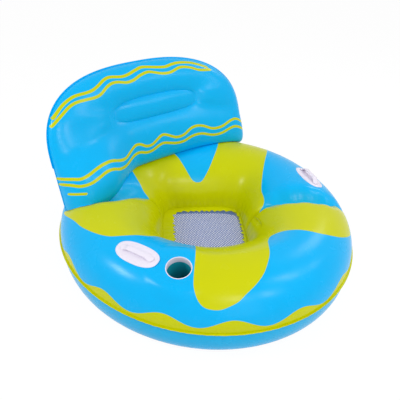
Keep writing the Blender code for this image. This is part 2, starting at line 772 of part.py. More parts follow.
def make_plug(name, frame, collection, cutters, stem):
    """A tapered plug with its head, and a strap to the loose ring round the stem."""
    head_low = STEM_HEIGHT + GAP
    head_high = head_low + PLUG_HEAD_THICKNESS
    plug_radius = STEM_BORE - GAP
    plug = [
        (0.0, head_high),
        (PLUG_HEAD_RADIUS, head_high),
        (PLUG_HEAD_RADIUS, head_low),
        (plug_radius, head_low),
        (plug_radius - GAP, head_low - PLUG_LENGTH),
        (0.0, head_low - PLUG_LENGTH),
    ]
    ring_high = STEM_HEIGHT - STRAP_THICKNESS
    ring_low = ring_high - STRAP_RING_DEPTH
    ring_inner = STEM_RADIUS + RUNNING_GAP
    ring_outer = ring_inner + STRAP_RING_WALL
    ring = [
        (ring_inner, ring_high),
        (ring_outer, ring_high),
        (ring_outer, ring_low),
        (ring_inner, ring_low),
        (ring_inner, ring_high),
    ]
    model = bmesh.new()
    add_turned(model, plug)
    add_turned(model, ring)
    mesh = bpy.data.meshes.new(name)
    model.to_mesh(mesh)
    model.free()
    item = make_object(name, mesh, "clear", collection)
    item.matrix_world = frame
    attach(item, stem)
    high = (head_low + head_high + STRAP_THICKNESS) / 2
    low = (ring_low + ring_high - STRAP_THICKNESS) / 2
    far = ring_outer + STRAP_REACH
    near_head = PLUG_HEAD_RADIUS - STRAP_RING_WALL
    near_ring = (ring_inner + ring_outer) / 2
    outline = [
        (near_head, high - STRAP_THICKNESS),
        (far - STRAP_THICKNESS, high - STRAP_THICKNESS),
        (far - STRAP_THICKNESS, low + STRAP_THICKNESS),
        (near_ring, low + STRAP_THICKNESS),
        (near_ring, low),
        (far, low),
        (far, high),
        (near_head, high),
    ]
    strap = bmesh.new()
    add_prism(strap, outline, STRAP_WIDTH / 2)
    join = item.modifiers.new("strap", "BOOLEAN")
    join.operation = "UNION"
    join.object = make_guide(name + "_strap", strap, frame, cutters)


def add_turned(model, profile):
    """Adds a turned body to a model, from a profile whose outer side runs downwards."""
    rings = []
    for radius, height in profile:
        spots = [math.tau * i / VALVE_STEPS for i in range(VALVE_STEPS)]
        rings.append([model.verts.new(polar(radius, spot, height)) for spot in spots])
    for upper, lower in zip(rings, rings[1:]):
        for i in range(VALVE_STEPS):
            j = (i + 1) % VALVE_STEPS
            model.faces.new([upper[i], lower[i], lower[j], upper[j]])
    bmesh.ops.remove_doubles(model, verts=model.verts, dist=MERGE)


def add_prism(model, outline, half_width):
    """Adds a prism to a model, from an outline of (x, z) points."""
    near, far = ([model.verts.new((x, y, z)) for x, z in outline] for y in (-half_width, half_width))
    model.faces.new(near)
    model.faces.new(far[::-1])
    for i, corner in enumerate(near):
        j = (i + 1) % len(near)
        model.faces.new([near[j], corner, far[i], far[j]])
    bmesh.ops.recalc_face_normals(model, faces=model.faces)


def rim_frame(angle, share):
    """Place and outward normal on the bottom sheet, between the outer weld and the floor."""
    step = 0.02
    place = Vector(section_point(angle, share))
    down = Vector(section_point(angle, share + step)) - Vector(section_point(angle, share - step))
    return place, down.cross(Vector(polar(1.0, angle + math.pi / 2, 0.0))).normalized()


def section_point(angle, share):
    radius, height = bottom_section(angle, share)
    return polar(radius, angle, height)


def main():
    clear_scene()
    chair = bpy.data.collections.new("inflatable_pool_chair")
    cutters = bpy.data.collections.new("cutters")
    bpy.context.scene.collection.children.link(chair)
    bpy.context.scene.collection.children.link(cutters)

    left_again = tuple(angle - math.tau for angle in LEFT_SEAM)
    cup_share = (CUP_ANGLE - left_again[0]) / (RIGHT_SEAM[0] - left_again[0])
    front = make_top_sheet(
        "seat_top_front_sheet", left_again, RIGHT_SEAM, cup_share, chair, "yellow"
    )
    rear = make_top_sheet("seat_top_rear_sheet", RIGHT_SEAM, LEFT_SEAM, None, chair, "blue")
    bottom = make_bottom_sheet(chair)
    make_partition("seat_left_partition", LEFT_SEAM, chair)
    make_partition("seat_right_partition", RIGHT_SEAM, chair)
    make_mesh_seat(chair)
    cut(front, make_cup_holder(chair, cutters))
    make_handle("left", chair)
    make_handle("right", chair)

    hinge = make_empty("backrest_hinge", (0, HINGE_Y, HINGE_Z), chair)
    make_back_sheet("backrest_front_sheet", True, "blue", chair, hinge)
    back_rear = make_back_sheet("backrest_rear_sheet", False, "blue_plain", chair, hinge)
    make_back_web(chair, hinge)
    make_back_strip(chair)

    frame = rim_frame(FRONT_VALVE_ANGLE, FRONT_VALVE_SHARE)
    cut(bottom, make_valve("front", *frame, chair, cutters))
    frame = surface_frame(REAR_VALVE_ANGLE, REAR_VALVE_RADIUS)
    cut(rear, make_valve("rear", *frame, chair, cutters))
    frame = back_rear_frame(BACK_VALVE_X, BACK_VALVE_V)
    cut(back_rear, make_valve("backrest", *frame, chair, cutters, hinge))


main()
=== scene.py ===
"""Pool chair of welded vinyl film: two ring chambers, a net seat, a pillow backrest and its fittings.

Every piece is built in the frame's own place and size: metres, +Z up, the chair facing -Y.
"""

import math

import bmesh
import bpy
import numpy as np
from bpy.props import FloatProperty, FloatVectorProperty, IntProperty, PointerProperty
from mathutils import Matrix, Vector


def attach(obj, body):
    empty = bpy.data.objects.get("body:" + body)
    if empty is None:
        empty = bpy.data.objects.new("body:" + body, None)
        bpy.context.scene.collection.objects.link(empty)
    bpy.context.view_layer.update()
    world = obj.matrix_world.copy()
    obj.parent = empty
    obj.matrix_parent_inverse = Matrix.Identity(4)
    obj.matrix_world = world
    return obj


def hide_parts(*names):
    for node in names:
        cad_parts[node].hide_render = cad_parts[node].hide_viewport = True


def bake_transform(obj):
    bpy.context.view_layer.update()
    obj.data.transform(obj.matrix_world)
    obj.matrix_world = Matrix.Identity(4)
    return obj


bl_info = {
    "name": "Inflatable pool chair",
    "version": (1, 0, 0),
    "blender": (4, 5, 0),
    "location": "3D View > Sidebar > Pool Chair",
    "description": "Builds the film sheets, net seat, cup holder, handles and valves of a pool chair",
    "category": "Add Mesh",
}

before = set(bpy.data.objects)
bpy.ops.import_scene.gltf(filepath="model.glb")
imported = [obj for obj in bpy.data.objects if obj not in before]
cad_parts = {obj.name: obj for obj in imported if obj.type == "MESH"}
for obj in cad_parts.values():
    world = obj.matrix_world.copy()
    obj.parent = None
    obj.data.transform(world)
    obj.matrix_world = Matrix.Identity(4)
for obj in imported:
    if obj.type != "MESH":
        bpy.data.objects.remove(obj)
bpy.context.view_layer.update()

# Ring section in the solids' sizes, but with a rounder lower edge
RING_HALF_WIDTH = 0.529
RING_HALF_DEPTH = 0.559
CREST_HEIGHT = 0.252
RIM_WELD_HEIGHT = 0.111
HOLE_WELD_HEIGHT = 0.058
HOLE_HALF_WIDTH = 0.160
HOLE_LIP_HALF_WIDTH = 0.147
HOLE_SQUARENESS = 5.0
CREST_SHARE = 0.53
OUTER_ROUNDNESS = 2.2
INNER_ROUNDNESS = 2.0
FRONT_FLATTENING = 0.56
FRONT_MIDDLE = math.radians(-122)
FRONT_SPREAD = math.radians(50)
SEAT_TURN = math.radians(-34)
FLOOR_OUTER_RADIUS = 0.470
FLOOR_INNER_MARGIN = 0.070
BAND_ROUNDNESS = 2.6

# Side seams: plan angle at the rim and at the hole, length and height of the weld's waves,
# pitch of the folds beside it, and how far it draws the inner wall outwards. Every share of the
# ring's section runs from the rim weld, 0, to the hole, 1
SEAMS = {
    "left": (math.radians(148.5), math.radians(122), 0.066, 0.0040, 0.044, 0.006),
    "right": (math.radians(-39), math.radians(-37), 0.045, 0.0024, 0.038, 0.018),
}
SEAM_BEND_START = 0.45
SEAM_BEND_LENGTH = 0.5
SEAM_WAVE_START = 0.6
SEAM_STILL_SHARE = 0.25
SEAM_LENGTH = 0.37
SEAM_DEPTH = 0.047
SEAM_SPREAD = 0.036
SEAM_FOCUS = 4
SEAM_CLEARANCE = 0.0004
SEAM_TURN_DOWN = 0.004
CREASE_DEPTH = 0.006
CREASE_SPREAD = 0.009
FOLD_DRIFT = 0.8
FOLD_DRIFT_LENGTH = 0.043
FOLD_REACH = 0.024
FOLD_START = 0.06
RAGGED_EDGE = 0.0050
RAGGED_PITCH = 0.016
RAGGED_FADE = 0.12
# The seams' pull on the inner wall: the share where it starts, and its fades at both ends
PULL_START = 0.62
PULL_FADE = 0.16
PULL_HOLE_FADE = 0.10
# A fold along the inner wall: plan angles and shares of its ends, depth and half width
LONG_FOLD = (math.radians(-40), math.radians(-68), 0.865, 0.795, 0.010, 0.008)
LONG_FOLD_FADES = (0.12, 0.35)
# Length of the ring's section, which turns a share of it into metres
SECTION_LENGTH = 0.62

# Waves that the welds leave, each with its count to a turn, start and height. The rim weld
# rises and falls, and the hole weld runs in and out
RIM_WAVES = ((131, 0.7, 1.0), (67, 2.1, 0.7))
HOLE_WAVES = ((40, 0.4, 1.0), (23, 1.0, 0.45))
# One over the share of the section within which the waves and the edges' lift fade
RIM_WAVE_FADE = 7
HOLE_WAVE_FADE = 5
EDGE_LIFT_FADE = 40
# Gathers between the hole's waves: height over theirs, and the shares over which they fade and
# start
GATHER_HEIGHT = 0.8
GATHER_REACH = 0.060
GATHER_START = 0.02
# Puckers beside the welds: ripples to a turn, then those of their drift and of their beat, and
# the shares over which they fade and start
RIM_PUCKERS = (151, 9, 13, 0.035, 0.012)
BACK_PUCKERS = (118, 7, 11, 0.07, 0.02)
PUCKER_DRIFT = 2
PUCKER_EVEN = 0.6
PUCKER_BEAT = 0.4
# How much closer a top sheet's rows and columns lie at its edges
ROW_EASE = 0.35

# Inner walls: their shares of the section, faces, gaps to the sheets and a shallow wave
WALL_SHARES = (0.07, 0.93)
WALL_COLUMNS = 60
WALL_ROWS = 24
WALL_FOOT_GAP = 0.006
WALL_TOP_GAP = 0.012
WALL_WAVE = 0.002
WALL_WAVE_TURN = 14
INNER_FILM = 0.0008
SOLID_FILM = 0.0015

# Printed border round the rim: its height, and how it rises towards the cup holder
SCALLOP_LEVEL = 0.134
SCALLOP_RISE = 0.012
SCALLOP_RISE_ANGLE = math.radians(-131)
SCALLOP_RISE_SPREAD = math.radians(30)
SCALLOP_START = math.radians(-142.6)
UNPRINTED = -0.05

# Backrest in the solids' sizes, but with a fuller left corner and a foot pressed on to the ring
BACK_HALF_WIDTH = 0.4375
BACK_FOOT_Y = 0.354
BACK_FOOT_Z = 0.2247
BACK_LEAN = math.radians(20)
BACK_WRAP = 0.412
BACK_MIDDLE = 0.124
BACK_TOP_RISE = 0.267
BACK_TOP_SQUARENESS = 2.9
BACK_LEFT_SQUARENESS = 14.0
BACK_RIGHT_SQUARENESS = 7.0
BACK_FOOT_RISE = 0.038
BACK_FOOT_DROP = 0.055
BACK_DROP_POWER = 5
BACK_FOOT_PRESS = 0.030
BACK_TOP_FULLNESS = 2.4
BACK_FOOT_FULLNESS = 5.0
BACK_FULLNESS_LEVEL = 0.174
BACK_FULLNESS_SPREAD = 0.120
BACK_UPRIGHT_SPREAD = 0.070
BACK_FRONT_SWELL = 0.086
BACK_REAR_SWELL = 0.064
SLOT_MIDDLE = 0.222
SLOT_HALF_LENGTH = 0.175
SLOT_HALF_HEIGHT = 0.021
SLOT_SQUARENESS = 4.0
SLOT_SINK = 0.024
SLOT_SPREAD = 0.045
BACK_ROW_EASE = 0.55
TOP_LIP = 0.006
FOOT_LIP = 0.002
OUTLINE_STEPS = 4000

# The slot's weld, front and rear: middle, half length, half height and squareness
FRONT_SLOT = (0.030, 0.218, 0.190, 0.042, 3.0)
REAR_SLOT = (0.0, SLOT_MIDDLE, SLOT_HALF_LENGTH, SLOT_HALF_HEIGHT, SLOT_SQUARENESS)
CREASE_FADE = 0.022
DIMPLE_FADE = 0.055
FLOOR_ROUNDNESS = 0.7
# The lower left corner sits fuller and lower, pressed against the ring's arm
CORNER_START = 0.10
CORNER_LENGTH = 0.18
CORNER_HEIGHT = 0.24
CORNER_DROP = 0.050
# The foot stays this far off the ring, softly, where it is no higher than the reach. The limit
# keeps the exponent in range
PRESS_FRONT_GAP = 0.0016
PRESS_REAR_GAP = 0.0032
PRESS_SOFTNESS = 0.0025
PRESS_REACH = 0.03
PRESS_LIMIT = 200
# The web behind the slot, and the weld strip under the foot
WEB_MARGIN = 0.004
WEB_GAP = 0.0030
WEB_COLUMNS = 160
WEB_ROWS = 12
STRIP_REACH = 0.36
STRIP_HALF_WIDTH = 0.008
STRIP_LIFT = 0.0002
STRIP_THICKNESS = 0.0006
STRIP_COLUMNS = 180
STRIP_ROWS = 7

# Cup holder
CUP_ANGLE = math.radians(-140)
CUP_RADIUS_ON_RING = 0.424
CUP_BORE_RADIUS = 0.0375
CUP_WALL = 0.0018
CUP_DEPTH = 0.110
CUP_TAPER = 0.003
COLLAR_DEPTH = 0.022
COLLAR_FLANGE_RADIUS = 0.052
# Round the cup holder the ring's top is drawn flat and a little sunk
FLAT_RADIUS = 0.060
FLAT_FADE = 0.050
FLAT_SINK = 0.004
CUP_HOLE_GAP = 0.0008
CUP_HOLE_LENGTH = 0.036
CUP_EDGE = 0.0006
COLLAR_SINK = 0.0023
# The collar's rounded lip, which stands on the film
LIP_RISE = 0.0006
LIP_CREST = 0.0012
LIP_SHOULDER = 0.0010
LIP_WIDTH = 0.0008
LIP_FOOT_WIDTH = 0.0012
FLOOR_BEVEL = 0.008
# Space left between turned pieces that sit in or on each other
FIT_GAP = 0.0003

# Handles: plan angle, distance from the middle and how far the strap arches up
HANDLES = {"left": (math.radians(-159), 0.419, 0.009), "right": (math.radians(-20), 0.431, 0.016)}
PATCH_HALF_LENGTH = 0.076
PATCH_HALF_WIDTH = 0.037
PATCH_SQUARENESS = 2.4
PATCH_THICKNESS = 0.0016
PATCH_COLUMNS = 128
PATCH_ROWS = 26
PATCH_ROW_EASE = 0.3
PATCH_END_PULL = 0.35
PATCH_LIFT = 0.0003
PATCH_UNDERSIDE = 0.0002
PATCH_EDGE_FADE = 0.0016
PATCH_EDGE_SHARE = 0.25
BEAD_PLACE = 0.0030
BEAD_SPREAD = 0.0013
RIDGE_PLACE = 0.0215
RIDGE_SPREAD = 0.0014
RIDGE_HALF_LENGTH = 0.060
RIDGE_FADE = 0.006
RIDGE_HEIGHT = 0.0006
GRIP_HALF_LENGTH = 0.060
GRIP_HALF_WIDTH = 0.009
GRIP_THICKNESS = 0.003
GRIP_FOOT = 0.010
GRIP_SLOPE = 0.018
GRIP_TIP = 0.009
GRIP_TIP_WIDTH = 0.35
GRIP_FOOT_WIDTH = 1.25
GRIP_SQUARENESS = 3.0
GRIP_CROWN = 0.25
GRIP_COLUMNS = 96
GRIP_STEPS = 28

# Valves: sizes of the base, the stem, the flap, the plug and the plug's tether. An edge is the
# radius that rounds a turned piece's corners
BASE_FLANGE = 0.0015
BASE_HEIGHT = 0.003
BASE_SLOPE = 0.0008
BASE_EDGE = 0.0005
VALVE_FLANGE_RADIUS = 0.017
VALVE_COLLAR_RADIUS = 0.0105
VALVE_HOLE_RADIUS = 0.012
STEM_RADIUS = 0.008
STEM_BORE = 0.0045
STEM_HEIGHT = 0.019
STEM_INSIDE = 0.008
STEM_LIP_RADIUS = 0.0105
STEM_LIP = 0.0015
STEM_PLAY = 0.0004
STEM_CHAMFER = (0.0006, 0.001)
STEM_EDGE = 0.0004
FLAP_RADIUS = 0.0062
FLAP_THICKNESS = 0.0008
FLAP_EDGE = 0.0003
PLUG_LENGTH = 0.008
PLUG_HEAD_RADIUS = 0.0080
PLUG_HEAD = 0.002
PLUG_PLAY = 0.0003
PLUG_TAPER = 0.0003
TETHER_RING_DROP = 0.0012
TETHER_RING_HEIGHT = 0.0025
TETHER_RING_WIDTH = 0.0018
STRAP_WIDTH = 0.002
STRAP_THICKNESS = 0.0006
STRAP_SQUARENESS = 4.0
STRAP_INSET = 0.001
STRAP_BOW = 0.0016
STRAP_COLUMNS = 20
STRAP_STEPS = 12
# Each valve's place, axis, body and the length of the cut that it needs through the film
VALVES = {
    "front": ((0.34419, -0.41019, 0.04861), (0.60229, -0.71778, -0.34935), "seat", 0.03),
    "rear": ((-0.17272, 0.47455, 0.21699), (-0.23861, 0.55902, 0.79408), "seat", 0.02),
    "backrest": ((0.21000, 0.43345, 0.30623), (0.19737, 0.93573, -0.29232), "backrest", 0.03),
}

# Seat net and its border
NET_HALF_WIDTH = 0.152
NET_TOP = 0.0613
BORDER_TOP = 0.0628
BORDER_NEAR_SQUARENESS = 3.2
BORDER_FAR_SQUARENESS = 8.0
BORDER_COLUMNS = 480
BORDER_ROWS = 9
BORDER_RISE = 0.0022
BORDER_BUCKLE = 0.0011
BORDER_BUCKLE_WAVE = 0.0006
BORDER_FILM = 0.0010

# Distance within which points merge, gap between welded sheets, angle from which an edge is
# sharp, fewest faces of a sound piece and sides of a round cutter
MERGE = 0.00001
CLEARANCE = 0.0002
SHARP_ANGLE = math.radians(50)
FEWEST_FACES = 8
CUTTER_SIDES = 64

# Print outlines in plan, in millimetres, drawn as smooth curves through a few points
FRONT_YELLOW = (
    (-437, 280), (-457, 130), (-449, 46), (-424, -20), (-388, -53), (-343, -78), (-312, -92), (-280, -90),
    (-225, -92), (-172, -112), (-182, -165), (-213, -210), (-256, -264), (-301, -315), (-328, -349),
    (-336, -376), (-332, -399), (-315, -420), (-290, -438), (-249, -452), (-216, -452), (-176, -449),
    (-136, -438), (-101, -418), (-66, -392), (-38, -360), (-12, -334), (22, -316), (56, -324), (88, -353),
    (118, -384), (148, -416), (191, -441), (229, -450), (277, -445), (322, -426), (360, -385), (400, -330),
    (440, -260), (250, 0), (0, 120), (-300, 360),
)
REAR_YELLOW = (
    (-144, 178), (-148, 220), (-143, 270), (-132, 330), (-105, 385), (-55, 415), (5, 405), (48, 368),
    (72, 328), (79, 288), (78, 253), (78, 214), (82, 186), (96, 170), (117, 162), (154, 172), (190, 191),
    (238, 224), (280, 262), (312, 308), (352, 330), (402, 308), (440, 250), (455, 185), (445, 130),
    (410, 91), (328, 25), (272, -23), (224, -70), (180, -126), (100, -90), (0, 0), (-90, 90),
)
# Wavy stripes on the backrest and a short dash, in millimetres across and up its plane
STRIPES = (
    (
        (-394, 283), (-377, 295), (-351, 312), (-318, 325), (-290, 330), (-250, 329), (-222, 331),
        (-195, 340), (-161, 355), (-133, 359), (-88, 351), (-56, 353), (-16, 363), (18, 369), (72, 360),
        (115, 355), (152, 361), (188, 363), (238, 357), (281, 343), (314, 329),
    ),
    (
        (-408, 260), (-391, 269), (-364, 284), (-330, 301), (-300, 308), (-260, 307), (-223, 305),
        (-195, 310), (-162, 328), (-136, 336), (-110, 335), (-74, 326), (-41, 329), (-5, 341), (32, 347),
        (61, 340), (94, 331), (131, 331), (180, 344), (226, 338), (268, 323), (330, 319),
    ),
    (
        (-435, 83), (-408, 75), (-383, 67), (-354, 70), (-319, 79), (-287, 84), (-252, 83), (-210, 69),
        (-177, 66), (-143, 79), (-114, 92), (-90, 90), (-63, 75), (-34, 75), (8, 96), (32, 97), (78, 76),
        (116, 77), (152, 95), (180, 101), (213, 96), (257, 77), (303, 79), (357, 98), (394, 99), (437, 75),
    ),
    (
        (-433, 62), (-414, 55), (-391, 44), (-357, 41), (-324, 48), (-288, 57), (-258, 55), (-225, 43),
        (-186, 40), (-156, 48), (-125, 59), (-98, 60), (-69, 51), (-40, 51), (0, 64), (24, 65), (72, 52),
        (111, 51), (144, 61), (172, 66), (205, 64), (252, 50), (297, 51), (347, 66), (383, 67), (437, 45),
    ),
)
STRIPE_DASH = ((-426, 26), (-381, 13))
DASH_WIDTH = 0.85


def linear_colour(code):
    """Linear red, green and blue of an sRGB hex value."""
    channels = [int(code[i : i + 2], 16) / 255 for i in (0, 2, 4)]
    return [c / 12.92 if c <= 0.04045 else ((c + 0.055) / 1.055) ** 2.4 for c in channels]


def size_setting(name, description, default, unit="LENGTH", low=0.0, high=1.0):
    """A size that a user may change."""
    return FloatProperty(
        name=name, description=description, default=default, min=low, max=high, unit=unit, precision=5
    )


def colour_setting(name, description, code):
    """A colour that a user may change."""
    return FloatVectorProperty(
        name=name, description=description, default=linear_colour(code), subtype="COLOR",
        size=3, min=0.0, max=1.0,
    )


class RingSettings(bpy.types.PropertyGroup):
    """Sizes of the ring's film and of the marks that its welds leave."""

    film: size_setting("Film", "Thickness of the vinyl film as drawn", 0.0006)
    weld_width: size_setting("Weld width", "Width of the flat weld round the rim", 0.006)
    rim_pucker: size_setting("Rim pucker", "Height of the puckers along the rim weld", 0.0004)
    seam_pucker: size_setting("Seam pucker", "Height of the folds beside the side seams", 0.0012)
    hole_gather: size_setting("Hole gather", "Depth of the gathers round the seat hole", 0.0009)
    scallop_depth: size_setting("Scallop", "Height of the waves of the printed border", 0.0145)
    scallops: IntProperty(name="Scallops", description="Waves round the border", default=16, min=1)
    columns: IntProperty(name="Columns", description="Faces along half a ring", default=420, min=40)
    rows: IntProperty(name="Rows", description="Faces across the ring", default=104, min=20)


class BackrestSettings(bpy.types.PropertyGroup):
    """Sizes of the backrest's print, slot and puckers."""

    stripe_width: size_setting("Stripe width", "Width of the wavy stripes", 0.0108)
    slot_depth: size_setting("Slot depth", "Depth of the crease round the slot", 0.016)
    slot_bulge: size_setting("Slot bulge", "How far the slot's floor stands out of its crease", 0.010)
    dimple_depth: size_setting("Dimple depth", "Depth of the soft dimple round the slot", 0.007)
    corner_swell: size_setting("Corner swell", "Extra fullness of the lower left corner", 0.070)
    pucker: size_setting("Pucker", "Height of the puckers along the weld", 0.0006)
    columns: IntProperty(name="Columns", description="Faces round a quarter", default=116, min=10)
    rows: IntProperty(name="Rows", description="Faces from slot to edge", default=56, min=10)
    floor_rows: IntProperty(name="Floor rows", description="Faces across half the slot", default=10, min=3)


class FittingSettings(bpy.types.PropertyGroup):
    """Sizes of the net seat and of the small fittings."""

    net_pitch: size_setting("Net pitch", "Distance between the net's holes", 0.0076)
    net_hole: FloatProperty(
        name="Net hole", description="Share of the pitch that is open", default=0.57, min=0.1, max=0.9
    )
    net_thickness: size_setting("Net thickness", "Thickness of the net", 0.0005)
    net_sag: size_setting("Net sag", "How far the net hangs in its middle", 0.004)
    border_opening: size_setting("Border opening", "Half width of the border's opening", 0.133)
    border_shift: size_setting("Border shift", "How far the opening lies to the right", 0.017)
    border_wave: size_setting("Border wave", "Depth of the waves of the border's inner edge", 0.0042)
    rim_bead: size_setting("Patch rim", "Height of the bead round a handle patch", 0.0009)
    turned_steps: IntProperty(name="Turned steps", description="Faces round a turned piece", default=64)


class ColourSettings(bpy.types.PropertyGroup):
    """Colours of the films and fittings."""

    blue: colour_setting("Printed blue", "Blue of the printed sheets", "00B4F4")
    plain_blue: colour_setting("Plain blue", "Blue of the unprinted sheets", "0CB2E8")
    yellow: colour_setting("Yellow", "Yellow of the print and the net's border", "CCD000")
    net: colour_setting("Net", "Blue grey of the polyester net", "6478BC")
    white: colour_setting("White", "White of the handles and the cup holder's collar", "ECE6F4")
    teal: colour_setting("Teal", "Teal of the cup holder's well", "1798A8")
    clear: colour_setting("Clear", "Tint of the unpigmented vinyl", "C9DCE8")


class StageSettings(bpy.types.PropertyGroup):
    """Level of the light and size of the floor."""

    lamp_level: FloatProperty(name="Lamps", description="Level of all lamps", default=1.0, min=0.0)
    world_level: FloatProperty(name="World", description="Level of the sky", default=0.48, min=0.0)
    floor_size: size_setting("Floor", "Width of the floor", 12.0, high=100.0)


# Shapes


def smooth(value):
    """Rises from 0 to 1 without a corner at either end."""
    value = np.clip(value, 0.0, 1.0)
    return value * value * (3 - 2 * value)


def mix(a, b, share):
    """From a, at a share of 0, to b, at 1."""
    return a + (b - a) * share


def super_radius(angle, half_width, squareness):
    """Distance from the middle to a rounded square's edge."""
    across = np.abs(np.cos(angle)) ** squareness + np.abs(np.sin(angle)) ** squareness
    return half_width / across ** (1 / squareness)


def super_point(angle, half_width, half_height, squareness):
    """Points on a rounded oblong's edge."""
    reach = super_radius(angle, 1.0, squareness)
    return half_width * reach * np.cos(angle), half_height * reach * np.sin(angle)


def wrapped(angle):
    """The same direction, less than half a turn from 0."""
    return (angle + math.pi) % math.tau - math.pi


def outer_radius(angle):
    """Distance from the middle to the rim weld."""
    return 1 / np.hypot(np.cos(angle) / RING_HALF_WIDTH, np.sin(angle) / RING_HALF_DEPTH)


def hole_radius(angle, half_width=HOLE_HALF_WIDTH):
    """Distance from the middle to the hole's weld."""
    return super_radius(angle - SEAT_TURN, half_width, HOLE_SQUARENESS)


def polar(radius, angle, height):
    """Points at distances and directions from the middle."""
    return np.stack(np.broadcast_arrays(radius * np.cos(angle), radius * np.sin(angle), height), -1)


def wave(angle, waves, height):
    """How far a weld's waves move it at an angle."""
    return height * sum(share * np.cos(count * angle + start) for count, start, share in waves)


def weld_puckers(turn, share, height, count, drift, beat, reach, start):
    """Puckers beside a weld, uneven in pitch and height, at a share of the way in from its edge."""
    ripple = np.cos(count * turn + PUCKER_DRIFT * np.sin(drift * turn))
    ripple = ripple * (PUCKER_EVEN + PUCKER_BEAT * np.cos(beat * turn))
    return height * ripple * np.exp(-share / reach) * smooth(share / start)


def seam_angle(side, share):
    """Plan angle of a side seam, which waves a little along its weld."""
    start, end, length, height, _, _ = SEAMS[side]
    run = share * SEAM_LENGTH
    shift = height * np.sin(math.tau * run / length + SEAM_WAVE_START)
    shift = shift + RAGGED_EDGE * np.sin(math.tau * run / RAGGED_PITCH) * np.exp(-share / RAGGED_FADE)
    reach = mix(outer_radius(start), hole_radius(end), share)
    middle = mix(start, end, smooth((share - SEAM_BEND_START) / SEAM_BEND_LENGTH))
    return middle + shift * np.clip((1 - share) / SEAM_STILL_SHARE, 0, 1) / reach


def seam_offset(angle, share, radius, side):
    """Signed distance from a side seam."""
    return wrapped(angle - seam_angle(side, share)) * radius


def inner_roundness(angle):
    """The ring's inner side is round at the back and falls more evenly at the front."""
    apart = wrapped(angle - FRONT_MIDDLE) / FRONT_SPREAD
    return INNER_ROUNDNESS - FRONT_FLATTENING * np.exp(-(apart**2))


def section(angle, share):
    """Radius and height of the ring's top; share runs from the rim weld (0) to the hole (1)."""
    outside = outer_radius(angle)
    inside = hole_radius(angle)
    crest = mix(inside, outside, CREST_SHARE)
    turn = math.pi * share
    rise = np.maximum(np.sin(turn), 0.0)
    run = np.abs(np.cos(turn))
    outer_side = share <= 0.5
    power = 2 / np.where(outer_side, OUTER_ROUNDNESS, inner_roundness(angle))
    end = np.where(outer_side, outside, inside)
    weld = np.where(outer_side, RIM_WELD_HEIGHT, HOLE_WELD_HEIGHT)
    radius = mix(crest, end, run**power)
    height = mix(weld, CREST_HEIGHT, rise**power)
    return radius + wall_fold(angle, share, radius), height - pinch(angle, share, radius, rise)


def wall_fold(angle, share, radius):
    """How far the side seams pull the ring's inner wall outwards."""
    depth = 0.0
    for side, (*_, deepest) in SEAMS.items():
        offset = seam_offset(angle, share, radius, side)
        depth = depth + deepest * np.exp(-np.abs(offset) / CREASE_SPREAD)
    depth = depth * smooth((share - PULL_START) / PULL_FADE) * smooth((1 - share) / PULL_HOLE_FADE)
    return depth + long_fold(angle, share)


def long_fold(angle, share):
    """Depth of the fold that runs forwards along the inner wall from the right seam."""
    start, end, first, last, deepest, spread = LONG_FOLD
    along = wrapped(angle - start) / (end - start)
    away = (share - mix(first, last, along)) * SECTION_LENGTH
    ends = smooth(along / LONG_FOLD_FADES[0]) * smooth((1 - along) / LONG_FOLD_FADES[1])
    return deepest * np.exp(-((away / spread) ** 2)) * ends


def pinch(angle, share, radius, rise):
    """How far the side seams pull the top down: a broad dip, a sharp crease and folds."""
    ring = bpy.context.scene.pool_chair_ring
    total = 0.0
    for side, (*_, pitch, _) in SEAMS.items():
        offset = seam_offset(angle, share, radius, side)
        dip = SEAM_DEPTH * np.exp(-((offset / SEAM_SPREAD) ** 2)) * rise ** (SEAM_FOCUS - 1)
        crease = CREASE_DEPTH * np.exp(-np.abs(offset) / CREASE_SPREAD)
        run = share * SEAM_LENGTH
        folds = np.cos(math.tau * run / pitch + FOLD_DRIFT * np.sin(run / FOLD_DRIFT_LENGTH))
        folds = ring.seam_pucker * folds * np.exp(-np.abs(offset) / FOLD_REACH) * smooth(share / FOLD_START)
        total = total + (dip + crease + folds) * rise
    return total


def share_at(angle, radius):
    """Share of the ring's section that lies at a radius."""
    outside = outer_radius(angle)
    inside = hole_radius(angle)
    crest = mix(inside, outside, CREST_SHARE)
    outer_side = radius > crest
    end = np.where(outer_side, outside, inside)
    power = np.where(outer_side, OUTER_ROUNDNESS, inner_roundness(angle)) / 2
    turn = np.arccos(np.clip((radius - crest) / (end - crest), 0, 1) ** power)
    return np.where(outer_side, turn, math.pi - turn) / math.pi


def plan_place(x, y):
    """Places on the ring's top over points of the plan."""
    x, y = np.broadcast_arrays(np.asarray(x, float), np.asarray(y, float))
    angle, radius = np.arctan2(y, x), np.hypot(x, y)
    height = section(angle, share_at(angle, radius))[1]
    return np.stack([x, y, height], -1)


def plan_normal(x, y):
    """Directions square to the ring's top over points of the plan."""
    step = 0.002
    across = plan_place(x + step, y) - plan_place(x - step, y)
    up = plan_place(x, y + step) - plan_place(x, y - step)
    normal = np.cross(across, up)
    return normal / np.linalg.norm(normal, axis=-1, keepdims=True)


def on_ring(x, y, rise):
    """Places that stand off the ring's top by a rise."""
    return plan_place(x, y) + plan_normal(x, y) * np.asarray(rise)[..., None]


def cup_frame():
    """Place and axis of the cup holder, square to the ring's slope and a little sunk."""
    x = CUP_RADIUS_ON_RING * math.cos(CUP_ANGLE)
    y = CUP_RADIUS_ON_RING * math.sin(CUP_ANGLE)
    axis = plan_normal(x, y)
    return plan_place(x, y) - axis * FLAT_SINK, axis


def drawn_flat(points):
    """The ring's top drawn flat round the cup holder."""
    place, axis = cup_frame()
    offset = points - place
    height = offset @ axis
    distance = np.linalg.norm(offset - height[..., None] * axis, axis=-1)
    pull = smooth((FLAT_RADIUS + FLAT_FADE - distance) / FLAT_FADE)
    pull = np.where(np.abs(height) < FLAT_RADIUS, pull, 0.0)
    return points - axis * (height * pull)[..., None]


